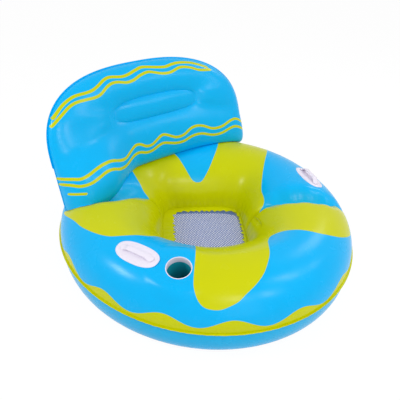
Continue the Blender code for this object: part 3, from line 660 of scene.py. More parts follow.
def grid_normals(points):
    """Outward normals of a grid of points."""
    normal = np.cross(np.gradient(points, axis=1), np.gradient(points, axis=0))
    length = np.linalg.norm(normal, axis=-1, keepdims=True)
    return normal / np.maximum(length, MERGE**2)


def eased(count, share):
    """Values from 0 to 1, closer together at both ends."""
    even = np.linspace(0, 1, count)
    return mix(even, (1 - np.cos(math.pi * even)) / 2, share)


# Meshes


def grid_mesh(name, points, closed=False, flip=False, caps=False):
    """A mesh through a grid of points; in a closed one each row's end joins its start."""
    count, width = points.shape[:2]
    index = np.arange(count * width).reshape(count, width)
    after = np.roll(index, -1, axis=1)
    if not closed:
        index, after = index[:, :-1], after[:, :-1]
    faces = np.stack([index[:-1], after[:-1], after[1:], index[1:]], -1).reshape(-1, 4)
    faces = (faces[:, ::-1] if flip else faces).tolist()
    if caps:
        first, last = index[0].tolist(), index[-1].tolist()
        faces += [first, last[::-1]] if flip else [first[::-1], last]
    mesh = bpy.data.meshes.new(name)
    mesh.from_pydata(points.reshape(-1, 3).tolist(), [], faces)
    model = bmesh.new()
    model.from_mesh(mesh)
    bmesh.ops.remove_doubles(model, verts=model.verts, dist=MERGE)
    bmesh.ops.dissolve_degenerate(model, edges=model.edges, dist=MERGE)
    model.to_mesh(mesh)
    model.free()
    mesh.shade_smooth()
    return mesh


def new_object(name, mesh):
    """An object in the scene, of a mesh, a lamp or a camera."""
    item = bpy.data.objects.new(name, mesh)
    bpy.context.scene.collection.objects.link(item)
    return item


def thicken(item, thickness, offset=-1.0):
    """Gives a sheet its thickness: inwards at -1, half to each side at 0, outwards at 1."""
    solid = item.modifiers.new("film", "SOLIDIFY")
    solid.thickness = thickness
    solid.offset = offset
    solid.use_quality_normals = True


def pierce(item, place, axis, radius, length):
    """Cuts a round hole through a sheet; gives the cutter, which goes once the sheet is settled."""
    model = bmesh.new()
    bmesh.ops.create_cone(
        model, cap_ends=True, segments=CUTTER_SIDES, radius1=radius, radius2=radius, depth=length
    )
    mesh = bpy.data.meshes.new("hole")
    model.to_mesh(mesh)
    model.free()
    cutter = new_object("hole", mesh)
    cutter.matrix_world = facing(place, axis)
    hole = item.modifiers.new("hole", "BOOLEAN")
    hole.operation = "DIFFERENCE"
    hole.object = cutter
    return cutter


def settle(item, cutters=()):
    """Turns an object's modifiers into its own plain mesh."""
    bpy.context.view_layer.update()
    graph = bpy.context.evaluated_depsgraph_get()
    mesh = bpy.data.meshes.new_from_object(item.evaluated_get(graph))
    item.modifiers.clear()
    item.data = mesh
    mesh.name = item.name
    for cutter in cutters:
        bpy.data.objects.remove(cutter, do_unlink=True)
    mesh.shade_smooth()
    mesh.set_sharp_from_angle(angle=SHARP_ANGLE)
    if len(mesh.polygons) < FEWEST_FACES:
        raise RuntimeError(item.name + " came out empty")


def facing(place, normal):
    """A matrix whose Z is the normal and whose X points as far up as it can."""
    z = Vector(normal).normalized()
    x = (Vector((0, 0, 1)) - z * z.z).normalized()
    matrix = Matrix((x, z.cross(x), z)).transposed().to_4x4()
    matrix.translation = place
    return matrix


def places(mesh):
    """A mesh's points, one to a row."""
    flat = np.empty(len(mesh.vertices) * 3)
    mesh.vertices.foreach_get("co", flat)
    return flat.reshape(-1, 3)


def write_values(mesh, name, values):
    """Stores one number per point, which the finishes read."""
    layer = mesh.attributes.new(name, "FLOAT", "POINT")
    layer.data.foreach_set("value", np.asarray(values, dtype=np.float32))


def hand_over(item, material, body, slot, *nodes):
    """Gives a finished piece its material and its body, and hides the solids it stands for; its slot is not
    used.
    """
    item.data.materials.clear()
    item.data.materials.append(material)
    if body is not None:
        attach(item, body)
    if nodes:
        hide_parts(*nodes)


def make_piece(name, mesh, finish, body, slot, *nodes, film=0.0, offset=-1.0, hole=None):
    """Makes a finished piece of a mesh, with a film's thickness and a hole if they are given."""
    item = new_object(name, mesh)
    if film > 0:
        thicken(item, film, offset)
    settle(item, [pierce(item, *hole)] if hole else [])
    hand_over(item, finish_named(finish), body, slot, *nodes)
    return item


# Prints


def rounded_curve(points, closed=True, steps=8):
    """A smooth curve in metres through points in millimetres."""
    points = np.array(points) / 1000
    before, after, beyond = (np.roll(points, k, axis=0) for k in (1, -1, -2))
    if not closed:
        before[0] = 2 * points[0] - points[1]
        beyond[-2] = 2 * points[-1] - points[-2]
        before, points, after, beyond = (each[:-1] for each in (before, points, after, beyond))
    curve = []
    for t in np.arange(steps) / steps:
        curve.append(
            0.5
            * (
                2 * points
                + (after - before) * t
                + (2 * before - 5 * points + 4 * after - beyond) * t**2
                + (3 * points - before - 3 * after + beyond) * t**3
            )
        )
    return np.stack(curve, 1).reshape(-1, 2)


def distance_to_curve(x, y, curve):
    """Distance to an open curve."""
    nearest = np.full(len(x), 1.0)
    for start, end in zip(curve, curve[1:]):
        along = end - start
        share = np.clip(((x - start[0]) * along[0] + (y - start[1]) * along[1]) / (along @ along), 0, 1)
        away = np.hypot(x - start[0] - share * along[0], y - start[1] - share * along[1])
        nearest = np.minimum(nearest, away)
    return nearest


def distance_inside(x, y, curve):
    """Signed distance to a closed curve, positive inside it."""
    spots = np.stack([x, y], -1)
    ends = np.roll(curve, -1, axis=0)
    along = ends - curve
    result = np.empty(len(spots))
    batch = 20000
    for start in range(0, len(spots), batch):
        part = spots[start : start + batch, None, :]
        offset = part - curve[None]
        share = np.clip((offset * along).sum(-1) / (along**2).sum(-1), 0, 1)
        distance = np.linalg.norm(offset - share[..., None] * along, axis=-1).min(1)
        px, py = part[..., 0], part[..., 1]
        crosses = (curve[:, 1] > py) != (ends[:, 1] > py)
        rise = np.where(along[:, 1] == 0, MERGE, along[:, 1])
        at = curve[:, 0] + (py - curve[:, 1]) * along[:, 0] / rise
        inside = (crosses & (px < at)).sum(1) % 2 == 1
        result[start : start + batch] = np.where(inside, distance, -distance)
    return result


def border_level(angle):
    """Height of the printed border's scalloped edge round the rim."""
    ring = bpy.context.scene.pool_chair_ring
    apart = wrapped(angle - SCALLOP_RISE_ANGLE) / SCALLOP_RISE_SPREAD
    phase = ring.scallops * (angle - SCALLOP_START)
    return SCALLOP_LEVEL + SCALLOP_RISE * np.exp(-(apart**2)) + ring.scallop_depth * np.cos(phase)


def print_ring(mesh, outline):
    """Writes how far each point lies inside the ring's yellow print and from the cup's axis."""
    x, y, z = places(mesh).T
    angle, radius = np.arctan2(y, x), np.hypot(x, y)
    crest = mix(hole_radius(angle), outer_radius(angle), CREST_SHARE)
    scallop = np.where(radius > crest, border_level(angle) - z, UNPRINTED)
    shape = distance_inside(x, y, rounded_curve(outline))
    write_values(mesh, "yellow_print", np.maximum(scallop, shape))
    place, axis = cup_frame()
    offset = places(mesh) - place
    height = offset @ axis
    near = np.linalg.norm(offset - height[:, None] * axis, axis=1)
    # Height off the cup's plane counts twice, which keeps the mark close to that plane
    write_values(mesh, "cup_distance", near + 2 * np.abs(height))


def print_backrest(mesh):
    """Writes how far each point lies inside a stripe."""
    x, y, z = places(mesh).T
    v = print_height(x, y, z)
    half_width = bpy.context.scene.pool_chair_backrest.stripe_width / 2
    inside = half_width * DASH_WIDTH - distance_to_curve(x, v, np.array(STRIPE_DASH) / 1000)
    for points in STRIPES:
        away = distance_to_curve(x, v, rounded_curve(points, closed=False))
        inside = np.maximum(inside, half_width - away)
    write_values(mesh, "yellow_print", inside)


def print_height(x, y, z):
    """Height up the backrest's leaning plane."""
    back = y - BACK_FOOT_Y + BACK_WRAP * x * x
    return back * math.sin(BACK_LEAN) + (z - BACK_FOOT_Z) * math.cos(BACK_LEAN)


# Finishes


def add_node(tree, kind, inputs=None, out=None, **settings):
    """Adds a node; an input is a number, a colour or another node's output.

    Gives the output named or numbered by out, or else the node."""
    node = tree.nodes.new(kind)
    for key, value in settings.items():
        setattr(node, key, value)
    for key, value in (inputs or {}).items():
        if isinstance(value, bpy.types.NodeSocket):
            tree.links.new(value, node.inputs[key])
        else:
            node.inputs[key].default_value = value
    return node if out is None else node.outputs[out]


def opaque(colour, level=1.0):
    """A colour for a socket, made darker or lighter by a level."""
    return (*(min(c * level, 1.0) for c in colour), 1.0)


def empty_tree(block):
    """The emptied node tree of a material or a world."""
    block.use_nodes = True
    block.node_tree.nodes.clear()
    return block.node_tree


def vinyl(name, colour, print_colour=None, marks=False, gloss=0.24):
    """Calendered PVC film, drawn tight by air: a smooth plastic gloss that breaks up a little
    where the film is uneven over centimetres, with a very fine calender grain."""
    material = bpy.data.materials.new(name)
    tree = empty_tree(material)
    place = add_node(tree, "ShaderNodeTexCoord", out="Object")
    # Ink or pigment a little uneven over 60 mm
    cloud = add_node(
        tree, "ShaderNodeTexNoise", {"Vector": place, "Scale": 1 / 0.060, "Detail": 3.0}, "Fac"
    )
    shade = add_node(
        tree, "ShaderNodeMix",
        {0: cloud, 6: opaque(colour, 0.96), 7: opaque(colour, 1.03)}, 2, data_type="RGBA"
    )
    if print_colour is not None:
        inside = add_node(
            tree, "ShaderNodeAttribute", out="Fac", attribute_type="GEOMETRY", attribute_name="yellow_print"
        )
        # A screen-printed edge, soft over 0.8 mm
        edge = add_node(
            tree, "ShaderNodeMapRange", {"Value": inside, "From Min": -0.0004, "From Max": 0.0004}, "Result"
        )
        ink = add_node(
            tree, "ShaderNodeMix",
            {0: cloud, 6: opaque(print_colour, 0.97), 7: opaque(print_colour)}, 2, data_type="RGBA"
        )
        shade = add_node(tree, "ShaderNodeMix", {0: edge, 6: shade, 7: ink}, 2, data_type="RGBA")
    # Film uneven by 0.12 mm over 22 mm, and a calender grain of 1.2 mm that stands 3 microns high
    broad = add_node(
        tree, "ShaderNodeTexNoise", {"Vector": place, "Scale": 1 / 0.022, "Detail": 2.0}, "Fac"
    )
    dented = add_node(
        tree, "ShaderNodeBump", {"Height": broad, "Distance": 0.00012, "Strength": 1.0}, "Normal"
    )
    fine = add_node(
        tree, "ShaderNodeTexNoise", {"Vector": place, "Scale": 1 / 0.0012, "Detail": 1.0}, "Fac"
    )
    grain = add_node(
        tree, "ShaderNodeBump",
        {"Height": fine, "Distance": 0.000003, "Strength": 1.0, "Normal": dented}, "Normal"
    )
    if marks:
        grain = add_marks(tree, grain)
    # The gloss breaks up where the pigment does
    shine = add_node(
        tree, "ShaderNodeMapRange",
        {"Value": cloud, "From Min": 0.3, "From Max": 0.7, "To Min": gloss - 0.03, "To Max": gloss + 0.05},
        "Result",
    )
    shader = add_node(
        tree, "ShaderNodeBsdfPrincipled",
        {"Base Color": shade, "Roughness": shine, "IOR": 1.53, "Specular IOR Level": 0.15, "Normal": grain},
        "BSDF",
    )
    add_node(tree, "ShaderNodeOutputMaterial", {"Surface": shader})
    return material


def add_marks(tree, normal):
    """The cup holder's weld shows through the film as a shallow ring, 105 mm across."""
    distance = add_node(
        tree, "ShaderNodeAttribute", out="Fac", attribute_type="GEOMETRY", attribute_name="cup_distance"
    )
    offset = add_node(tree, "ShaderNodeMath", {0: distance, 1: 0.0525}, 0, operation="SUBTRACT")
    away = add_node(tree, "ShaderNodeMath", {0: offset}, 0, operation="ABSOLUTE")
    # A groove 6 mm wide and 0.5 mm deep
    groove = add_node(
        tree, "ShaderNodeMapRange",
        {"Value": away, "From Min": 0.0, "From Max": 0.003}, "Result", interpolation_type="SMOOTHSTEP"
    )
    return add_node(
        tree, "ShaderNodeBump",
        {"Height": groove, "Distance": 0.0005, "Strength": 1.0, "Normal": normal}, "Normal"
    )


def clear_vinyl(name, colour):
    """Unpigmented soft PVC, moulded: milky clear with a soft gloss."""
    material = bpy.data.materials.new(name)
    tree = empty_tree(material)
    place = add_node(tree, "ShaderNodeTexCoord", out="Object")
    # Milkiness in clouds 6 mm across, and a skin uneven by 0.03 mm
    haze = add_node(tree, "ShaderNodeTexNoise", {"Vector": place, "Scale": 1 / 0.006, "Detail": 2.0}, "Fac")
    milk = add_node(
        tree, "ShaderNodeMix", {0: haze, 6: opaque(colour, 0.94), 7: opaque(colour)}, 2, data_type="RGBA"
    )
    skin = add_node(
        tree, "ShaderNodeBump", {"Height": haze, "Distance": 0.00003, "Strength": 1.0}, "Normal"
    )
    shader = add_node(
        tree, "ShaderNodeBsdfPrincipled",
        {"Base Color": milk, "Roughness": 0.28, "IOR": 1.53, "Transmission Weight": 0.45, "Normal": skin},
        "BSDF",
    )
    add_node(tree, "ShaderNodeOutputMaterial", {"Surface": shader})
    return material


def knitted_polyester(name, colour):
    """Knitted polyester net: matt bundles of filament with a faint sheen."""
    material = bpy.data.materials.new(name)
    tree = empty_tree(material)
    place = add_node(tree, "ShaderNodeTexCoord", out="Object")
    # Filament bundles 0.4 mm across, drawn at 0.9 mm so that they show
    bundles = add_node(tree, "ShaderNodeTexVoronoi", {"Vector": place, "Scale": 1 / 0.0009}, "Distance")
    # Painted highlight and shade: each bundle is lighter at its middle and darker towards its edges, the
    # shade that falls in the gaps between bundles
    painted_bundle_shade = add_node(
        tree, "ShaderNodeMix",
        {0: bundles, 6: opaque(colour, 1.12), 7: opaque(colour, 0.72)}, 2, data_type="RGBA"
    )
    thread = add_node(
        tree, "ShaderNodeBump",
        {"Height": bundles, "Distance": 0.0002, "Strength": 0.8}, "Normal", invert=True
    )
    shader = add_node(
        tree, "ShaderNodeBsdfPrincipled",
        {
            "Base Color": painted_bundle_shade, "Roughness": 0.78, "IOR": 1.53, "Sheen Weight": 0.15,
            "Sheen Roughness": 0.4, "Normal": thread,
        },
        "BSDF",
    )
    add_node(tree, "ShaderNodeOutputMaterial", {"Surface": shader})
    return material


def finish_named(name):
    """A finish, made once and then shared."""
    found = bpy.data.materials.get(name)
    if found is not None:
        return found
    colours = bpy.context.scene.pool_chair_colours
    makers = {
        "printed vinyl film": lambda: vinyl(name, colours.blue, colours.yellow, marks=True),
        "striped vinyl film": lambda: vinyl(name, colours.blue, colours.yellow),
        "plain blue vinyl film": lambda: vinyl(name, colours.plain_blue),
        "yellow vinyl border": lambda: vinyl(name, colours.yellow),
        "moulded white vinyl": lambda: vinyl(name, colours.white, gloss=0.36),
        "moulded teal vinyl": lambda: vinyl(name, colours.teal, gloss=0.22),
        "clear soft vinyl": lambda: clear_vinyl(name, colours.clear),
        "knitted polyester net": lambda: knitted_polyester(name, colours.net),
    }
    return makers[name]()


# Ring


def ring_sheet(name, sides, turns):
    """The outer side of one chamber's top sheet, as a grid from rim lip to hole lip."""
    ring = bpy.context.scene.pool_chair_ring
    share = eased(ring.rows, ROW_EASE)[:, None]
    columns = eased(ring.columns, ROW_EASE)[None, :]
    ends = []
    for side, turn, sign in zip(sides, turns, (1, -1)):
        edge = seam_angle(side, share) + turn
        ends.append(edge + sign * SEAM_CLEARANCE / section(edge, share)[0])
    angle = mix(*ends, columns)
    share = np.broadcast_to(share, angle.shape)
    radius, height = section(angle, share)
    near_rim = np.clip(1 - share * RIM_WAVE_FADE, 0, 1) ** 2
    near_hole = np.clip(share * HOLE_WAVE_FADE - (HOLE_WAVE_FADE - 1), 0, 1) ** 2
    radius = radius + wave(angle, HOLE_WAVES, ring.hole_gather) * near_hole
    height = height + wave(angle, RIM_WAVES, ring.rim_pucker) * near_rim
    points = drawn_flat(polar(radius, angle, height))
    normals = grid_normals(points)
    puckers = weld_puckers(angle, share, ring.rim_pucker, *RIM_PUCKERS)
    # The gathers lie between the waves of the hole's weld
    count, start, _ = HOLE_WAVES[0]
    gathers = np.cos(count * angle + start + math.pi) * np.exp((share - 1) / GATHER_REACH)
    gathers = gathers * smooth((1 - share) / GATHER_START)
    points = points + normals * (puckers + ring.hole_gather * GATHER_HEIGHT * gathers)[..., None]
    # Both edges lie on the bottom sheet's edges
    lift = np.maximum(1 - EDGE_LIFT_FADE * np.minimum(share, 1 - share), 0)
    points[..., 2] += (ring.film + CLEARANCE) * lift
    rim_lip = polar(outer_radius(angle[0]) + ring.weld_width, angle[0], points[0, :, 2])
    reach = hole_radius(angle[-1], HOLE_LIP_HALF_WIDTH) + wave(angle[-1], HOLE_WAVES, ring.hole_gather)
    hole_lip = polar(reach, angle[-1], points[-1, :, 2])
    points = np.concatenate([rim_lip[None], points, hole_lip[None]])
    # The seam's edges turn down into the crease
    fold = points[:, [0, -1]] - (0, 0, SEAM_TURN_DOWN)
    points = np.concatenate([fold[:, :1], points, fold[:, 1:]], axis=1)
    return grid_mesh(name, points)


def valve_hole(prefix):
    """The round cut through the film for a valve."""
    place, axis, _, length = VALVES[prefix]
    return place, axis, VALVE_HOLE_RADIUS, length


class POOLCHAIR_OT_ring_top(bpy.types.Operator):
    """Builds the two printed top sheets of the ring, one for each chamber"""

    bl_idname = "pool_chair.ring_top"
    bl_label = "Ring top sheets"

    def execute(self, context):
        ring = context.scene.pool_chair_ring
        cup_hole = (*cup_frame(), CUP_BORE_RADIUS + CUP_WALL + CUP_HOLE_GAP, CUP_HOLE_LENGTH)
        halves = (
            ("ring_front_top", ("left", "right"), (-math.tau, 0.0), FRONT_YELLOW,
             cup_hole, "printed_vinyl_yellow", "seat_top_front_sheet"),
            ("ring_rear_top", ("right", "left"), (0.0, 0.0), REAR_YELLOW,
             valve_hole("rear"), "printed_vinyl_blue", "seat_top_rear_sheet"),
        )
        for name, sides, turns, outline, hole, slot, node in halves:
            item = make_piece(
                name, ring_sheet(name, sides, turns), "printed vinyl film", "seat", slot, node,
                film=ring.film, hole=hole,
            )
            print_ring(item.data, outline)
        return {"FINISHED"}


def size_tree(name, sizes):
    """A Geometry Nodes tree with named sizes; gives the tree, its inputs and their identifiers."""
    tree = bpy.data.node_groups.new(name, "GeometryNodeTree")
    tree.interface.new_socket(name="Geometry", in_out="OUTPUT", socket_type="NodeSocketGeometry")
    identifiers = {}
    for label in sizes:
        kind = "NodeSocketInt" if isinstance(sizes[label], int) else "NodeSocketFloat"
        socket = tree.interface.new_socket(name=label, in_out="INPUT", socket_type=kind)
        identifiers[label] = socket.identifier
    return tree, add_node(tree, "NodeGroupInput").outputs, identifiers


def grow(name, tree, identifiers, sizes):
    """An object whose mesh comes from a tree."""
    item = new_object(name, bpy.data.meshes.new(name))
    modifier = item.modifiers.new("shape", "NODES")
    modifier.node_group = tree
    for label, value in sizes.items():
        modifier[identifiers[label]] = value
    return item


# Bottom sheet: share of the lip beyond each end of its section, the section's middle, and how
# fast the welds' waves fade towards the floor
LIP_SHARE = 0.1
SECTION_MIDDLE = 1.5
BOTTOM_WAVE_POWER = 4.0

# The bottom sheet's rule, one Math node each: name, operation and inputs, which are numbers or
# earlier names. A name that ends in _share stays between 0 and 1
BOTTOM_STEPS = (
    ("along", "ADD", "x", 0.5),
    ("angle", "MULTIPLY", "along", math.tau),
    ("cosine", "COSINE", "angle"),
    ("sine", "SINE", "angle"),
    # The section: 0 at the rim, 1 to 2 on the floor, 3 at the hole, with a lip beyond each end
    ("drawn_out", "MULTIPLY", "y", 2 * (SECTION_MIDDLE + LIP_SHARE)),
    ("section", "ADD", "drawn_out", SECTION_MIDDLE),
    ("band_share", "ADD", "section", 0.0),
    ("floor_share", "SUBTRACT", "section", 1.0),
    ("inner_share", "SUBTRACT", "section", 2.0),
    ("band", "MULTIPLY", "band_share", math.pi / 2),
    ("inner", "MULTIPLY", "inner_share", math.pi / 2),
    # Distance from the middle to the rim and to the hole
    ("wide", "DIVIDE", "cosine", "Half width"),
    ("deep", "DIVIDE", "sine", "Half depth"),
    ("wide_square", "MULTIPLY", "wide", "wide"),
    ("deep_square", "MULTIPLY", "deep", "deep"),
    ("squares", "ADD", "wide_square", "deep_square"),
    ("outside", "POWER", "squares", -0.5),
    ("turned", "SUBTRACT", "angle", SEAT_TURN),
    ("hole_cosine", "COSINE", "turned"),
    ("hole_sine", "SINE", "turned"),
    ("hole_wide", "ABSOLUTE", "hole_cosine"),
    ("hole_deep", "ABSOLUTE", "hole_sine"),
    ("wide_power", "POWER", "hole_wide", HOLE_SQUARENESS),
    ("deep_power", "POWER", "hole_deep", HOLE_SQUARENESS),
    ("powers", "ADD", "wide_power", "deep_power"),
    ("unit_hole", "POWER", "powers", -1 / HOLE_SQUARENESS),
    ("hole", "MULTIPLY", "unit_hole", "Hole half width"),
    # The outer band, the flat floor, the inner band and the two lips
    ("floor_outside", "MULTIPLY", "outside", FLOOR_OUTER_RADIUS / RING_HALF_WIDTH),
    ("floor_inside", "ADD", "hole", FLOOR_INNER_MARGIN),
    ("band_cosine", "COSINE", "band"),
    ("band_cosine_share", "ADD", "band_cosine", 0.0),
    ("band_cosine", "POWER", "band_cosine_share", 2 / BAND_ROUNDNESS),
    ("band_width", "SUBTRACT", "outside", "floor_outside"),
    ("band_part", "MULTIPLY", "band_width", "band_cosine"),
    ("reach", "ADD", "floor_outside", "band_part"),
    ("floor_width", "SUBTRACT", "floor_outside", "floor_inside"),
    ("floor_part", "MULTIPLY", "floor_width", "floor_share"),
    ("reach", "SUBTRACT", "reach", "floor_part"),
    ("inner_sine", "SINE", "inner"),
    ("inner_width", "SUBTRACT", "floor_inside", "hole"),
    ("inner_part", "MULTIPLY", "inner_width", "inner_sine"),
    ("reach", "SUBTRACT", "reach", "inner_part"),
    ("rim_lip_share", "MULTIPLY", "section", -1 / LIP_SHARE),
    ("rim_lip", "MULTIPLY", "rim_lip_share", "Weld width"),
    ("reach", "ADD", "reach", "rim_lip"),
    ("past_hole", "SUBTRACT", "section", 3.0),
    ("hole_lip_share", "MULTIPLY", "past_hole", 1 / LIP_SHARE),
    ("hole_lip_width", "MULTIPLY", "hole", 1 - HOLE_LIP_HALF_WIDTH / HOLE_HALF_WIDTH),
    ("hole_lip", "MULTIPLY", "hole_lip_share", "hole_lip_width"),
    ("reach", "SUBTRACT", "reach", "hole_lip"),
    # The welds' waves, which fade away from the rim and the hole
    ("near_hole", "POWER", "inner_share", BOTTOM_WAVE_POWER),
    ("gather", "MULTIPLY", "hole_wave", "Gather"),
    ("gather", "MULTIPLY", "gather", "near_hole"),
    ("reach", "ADD", "reach", "gather"),
    ("rim_side_share", "SUBTRACT", 1.0, "section"),
    ("near_rim", "POWER", "rim_side_share", BOTTOM_WAVE_POWER),
    ("pucker", "MULTIPLY", "rim_wave", "Pucker"),
    ("pucker", "MULTIPLY", "pucker", "near_rim"),
    ("band_sine", "SINE", "band"),
    ("band_sine", "POWER", "band_sine", 2 / BAND_ROUNDNESS),
    ("rim_rise", "SUBTRACT", 1.0, "band_sine"),
    ("rim_rise", "MULTIPLY", "rim_rise", "Rim height"),
    ("inner_cosine", "COSINE", "inner"),
    ("hole_rise", "SUBTRACT", 1.0, "inner_cosine"),
    ("hole_rise", "MULTIPLY", "hole_rise", "Hole height"),
    ("height", "ADD", "rim_rise", "hole_rise"),
    ("height", "ADD", "height", "pucker"),
    ("place_x", "MULTIPLY", "reach", "cosine"),
    ("place_y", "MULTIPLY", "reach", "sine"),
)


def wave_steps(name, waves):
    """Steps that add up a weld's waves."""
    steps = [(name, "ADD", 0.0, 0.0)]
    for count, start, part in waves:
        steps += [
            ("turns", "MULTIPLY", "angle", count),
            ("turns", "ADD", "turns", start),
            ("ripple", "COSINE", "turns"),
            ("ripple", "MULTIPLY", "ripple", part),
            (name, "ADD", name, "ripple"),
        ]
    return steps


def add_steps(tree, kind, steps, values):
    """Adds a node for each step of a rule, and keeps each result under its name."""
    for name, operation, *inputs in steps:
        clamp = {"use_clamp": True} if name.endswith("_share") else {}
        given = {k: values[value] if isinstance(value, str) else value for k, value in enumerate(inputs)}
        values[name] = add_node(tree, kind, given, 0, operation=operation, **clamp)


def bottom_tree(material, sizes):
    """The ring's bottom as a rule: a rounded band, a flat floor and an inner band round the hole."""
    tree, size, identifiers = size_tree("ring bottom", sizes)
    sheet = add_node(
        tree, "GeometryNodeMeshGrid",
        {"Size X": 1.0, "Size Y": 1.0, "Vertices X": size["Columns"], "Vertices Y": size["Rows"]}, "Mesh"
    )
    place = add_node(tree, "GeometryNodeInputPosition", out=0)
    spot = add_node(tree, "ShaderNodeSeparateXYZ", {0: place}).outputs
    values = {"x": spot["X"], "y": spot["Y"], **{label: size[label] for label in sizes}}
    waves = wave_steps("hole_wave", HOLE_WAVES) + wave_steps("rim_wave", RIM_WAVES)
    add_steps(tree, "ShaderNodeMath", (*BOTTOM_STEPS[:2], *waves, *BOTTOM_STEPS[2:]), values)
    moved = add_node(
        tree, "ShaderNodeCombineXYZ",
        {"X": values["place_x"], "Y": values["place_y"], "Z": values["height"]}, 0
    )
    sheet = add_node(tree, "GeometryNodeSetPosition", {"Geometry": sheet, "Position": moved}, 0)
    sheet = add_node(tree, "GeometryNodeMergeByDistance", {"Geometry": sheet, "Distance": MERGE}, 0)
    sheet = add_node(tree, "GeometryNodeFlipFaces", {"Mesh": sheet}, 0)
    finish_tree(tree, sheet, material)
    return tree, identifiers


def finish_tree(tree, geometry, material):
    """Ends a tree with real geometry that has its material."""
    real = add_node(tree, "GeometryNodeRealizeInstances", {"Geometry": geometry}, 0)
    dressed = add_node(tree, "GeometryNodeSetMaterial", {"Geometry": real, "Material": material}, 0)
    add_node(tree, "NodeGroupOutput", {"Geometry": dressed})


class POOLCHAIR_OT_ring_bottom(bpy.types.Operator):
    """Builds the plain bottom sheet of the ring from its rule"""

    bl_idname = "pool_chair.ring_bottom"
    bl_label = "Ring bottom sheet"

    def execute(self, context):
        ring = context.scene.pool_chair_ring
        material = finish_named("plain blue vinyl film")
        sizes = {
            "Columns": 481, "Rows": 65,
            "Half width": RING_HALF_WIDTH, "Half depth": RING_HALF_DEPTH,
            "Hole half width": HOLE_HALF_WIDTH, "Weld width": ring.weld_width,
            "Rim height": RIM_WELD_HEIGHT - CLEARANCE, "Hole height": HOLE_WELD_HEIGHT - CLEARANCE,
            "Gather": ring.hole_gather, "Pucker": ring.rim_pucker,
        }
        tree, identifiers = bottom_tree(material, sizes)
        item = grow("ring_bottom", tree, identifiers, sizes)
        settle(item)
        thicken(item, ring.film)
        settle(item, [pierce(item, *valve_hole("front"))])
        hand_over(item, material, "seat", "plain_vinyl_blue", "seat_bottom_sheet")
        return {"FINISHED"}


def floor_height(angle, radius):
    """Height of the bottom sheet's upper side."""
    inside, outside = hole_radius(angle) + FLOOR_INNER_MARGIN, outer_radius(angle)
    edge = FLOOR_OUTER_RADIUS * outside / RING_HALF_WIDTH
    out = np.clip((radius - edge) / (outside - edge), 0, 1)
    into = np.clip((inside - radius) / FLOOR_INNER_MARGIN, 0, 1)
    rise = RIM_WELD_HEIGHT * (1 - (1 - out**BAND_ROUNDNESS) ** (1 / BAND_ROUNDNESS))
    return rise + HOLE_WELD_HEIGHT * (1 - np.sqrt(1 - into**2)) + SOLID_FILM


class POOLCHAIR_OT_ring_walls(bpy.types.Operator):
    """Builds the two inner walls that part the ring's chambers"""

    bl_idname = "pool_chair.ring_walls"
    bl_label = "Ring inner walls"

    def execute(self, context):
        for side in SEAMS:
            share = np.linspace(*WALL_SHARES, WALL_COLUMNS)[None, :]
            up = np.linspace(0, 1, WALL_ROWS)[:, None]
            angle = seam_angle(side, share)
            radius, top = section(angle, share)
            low = floor_height(angle, radius) + WALL_FOOT_GAP
            height = mix(low, top - WALL_TOP_GAP, up)
            # The wall is drawn taut, with a shallow wave across
            drift = WALL_WAVE * np.sin(math.pi * up) * np.sin(share * WALL_WAVE_TURN)
            name = "ring_" + side + "_wall"
            mesh = grid_mesh(name, polar(radius + 0 * up, angle + drift / radius, height))
            item = make_piece(
                name, mesh, "clear soft vinyl", "seat", "clear_vinyl", "seat_" + side + "_partition",
                film=INNER_FILM, offset=0.0,
            )
        return {"FINISHED"}


# Net seat


# Width of the uncut net over half the width of the finished one
NET_UNCUT_WIDTH = 2.5

# The net's rule, in the same form: its size in cells, the rounded outline that it is cut to, and
# how far it hangs
NET_STEPS = (
    ("side", "MULTIPLY", "Half width", NET_UNCUT_WIDTH),
    ("cells", "DIVIDE", "side", "Pitch"),
    ("cells", "ROUND", "cells"),
    ("count", "ADD", "cells", 1.0),
    ("across", "DIVIDE", "x", "Half width"),
    ("along", "DIVIDE", "y", "Half width"),
    ("across", "ABSOLUTE", "across"),
    ("along", "ABSOLUTE", "along"),
    ("across_power", "POWER", "across", HOLE_SQUARENESS),
    ("along_power", "POWER", "along", HOLE_SQUARENESS),
    ("powers", "ADD", "across_power", "along_power"),
    ("outside", "GREATER_THAN", "powers", 1.0),
    ("across_square", "POWER", "across", 2.0),
    ("along_square", "POWER", "along", 2.0),
    ("across_share", "SUBTRACT", 1.0, "across_square"),
    ("along_share", "SUBTRACT", 1.0, "along_square"),
    ("hang", "MULTIPLY", "across_share", "along_share"),
    ("hang", "MULTIPLY", "hang", "Sag"),
    ("drop", "MULTIPLY", "hang", -1.0),
    ("low", "SUBTRACT", "Top", "Thickness"),
)


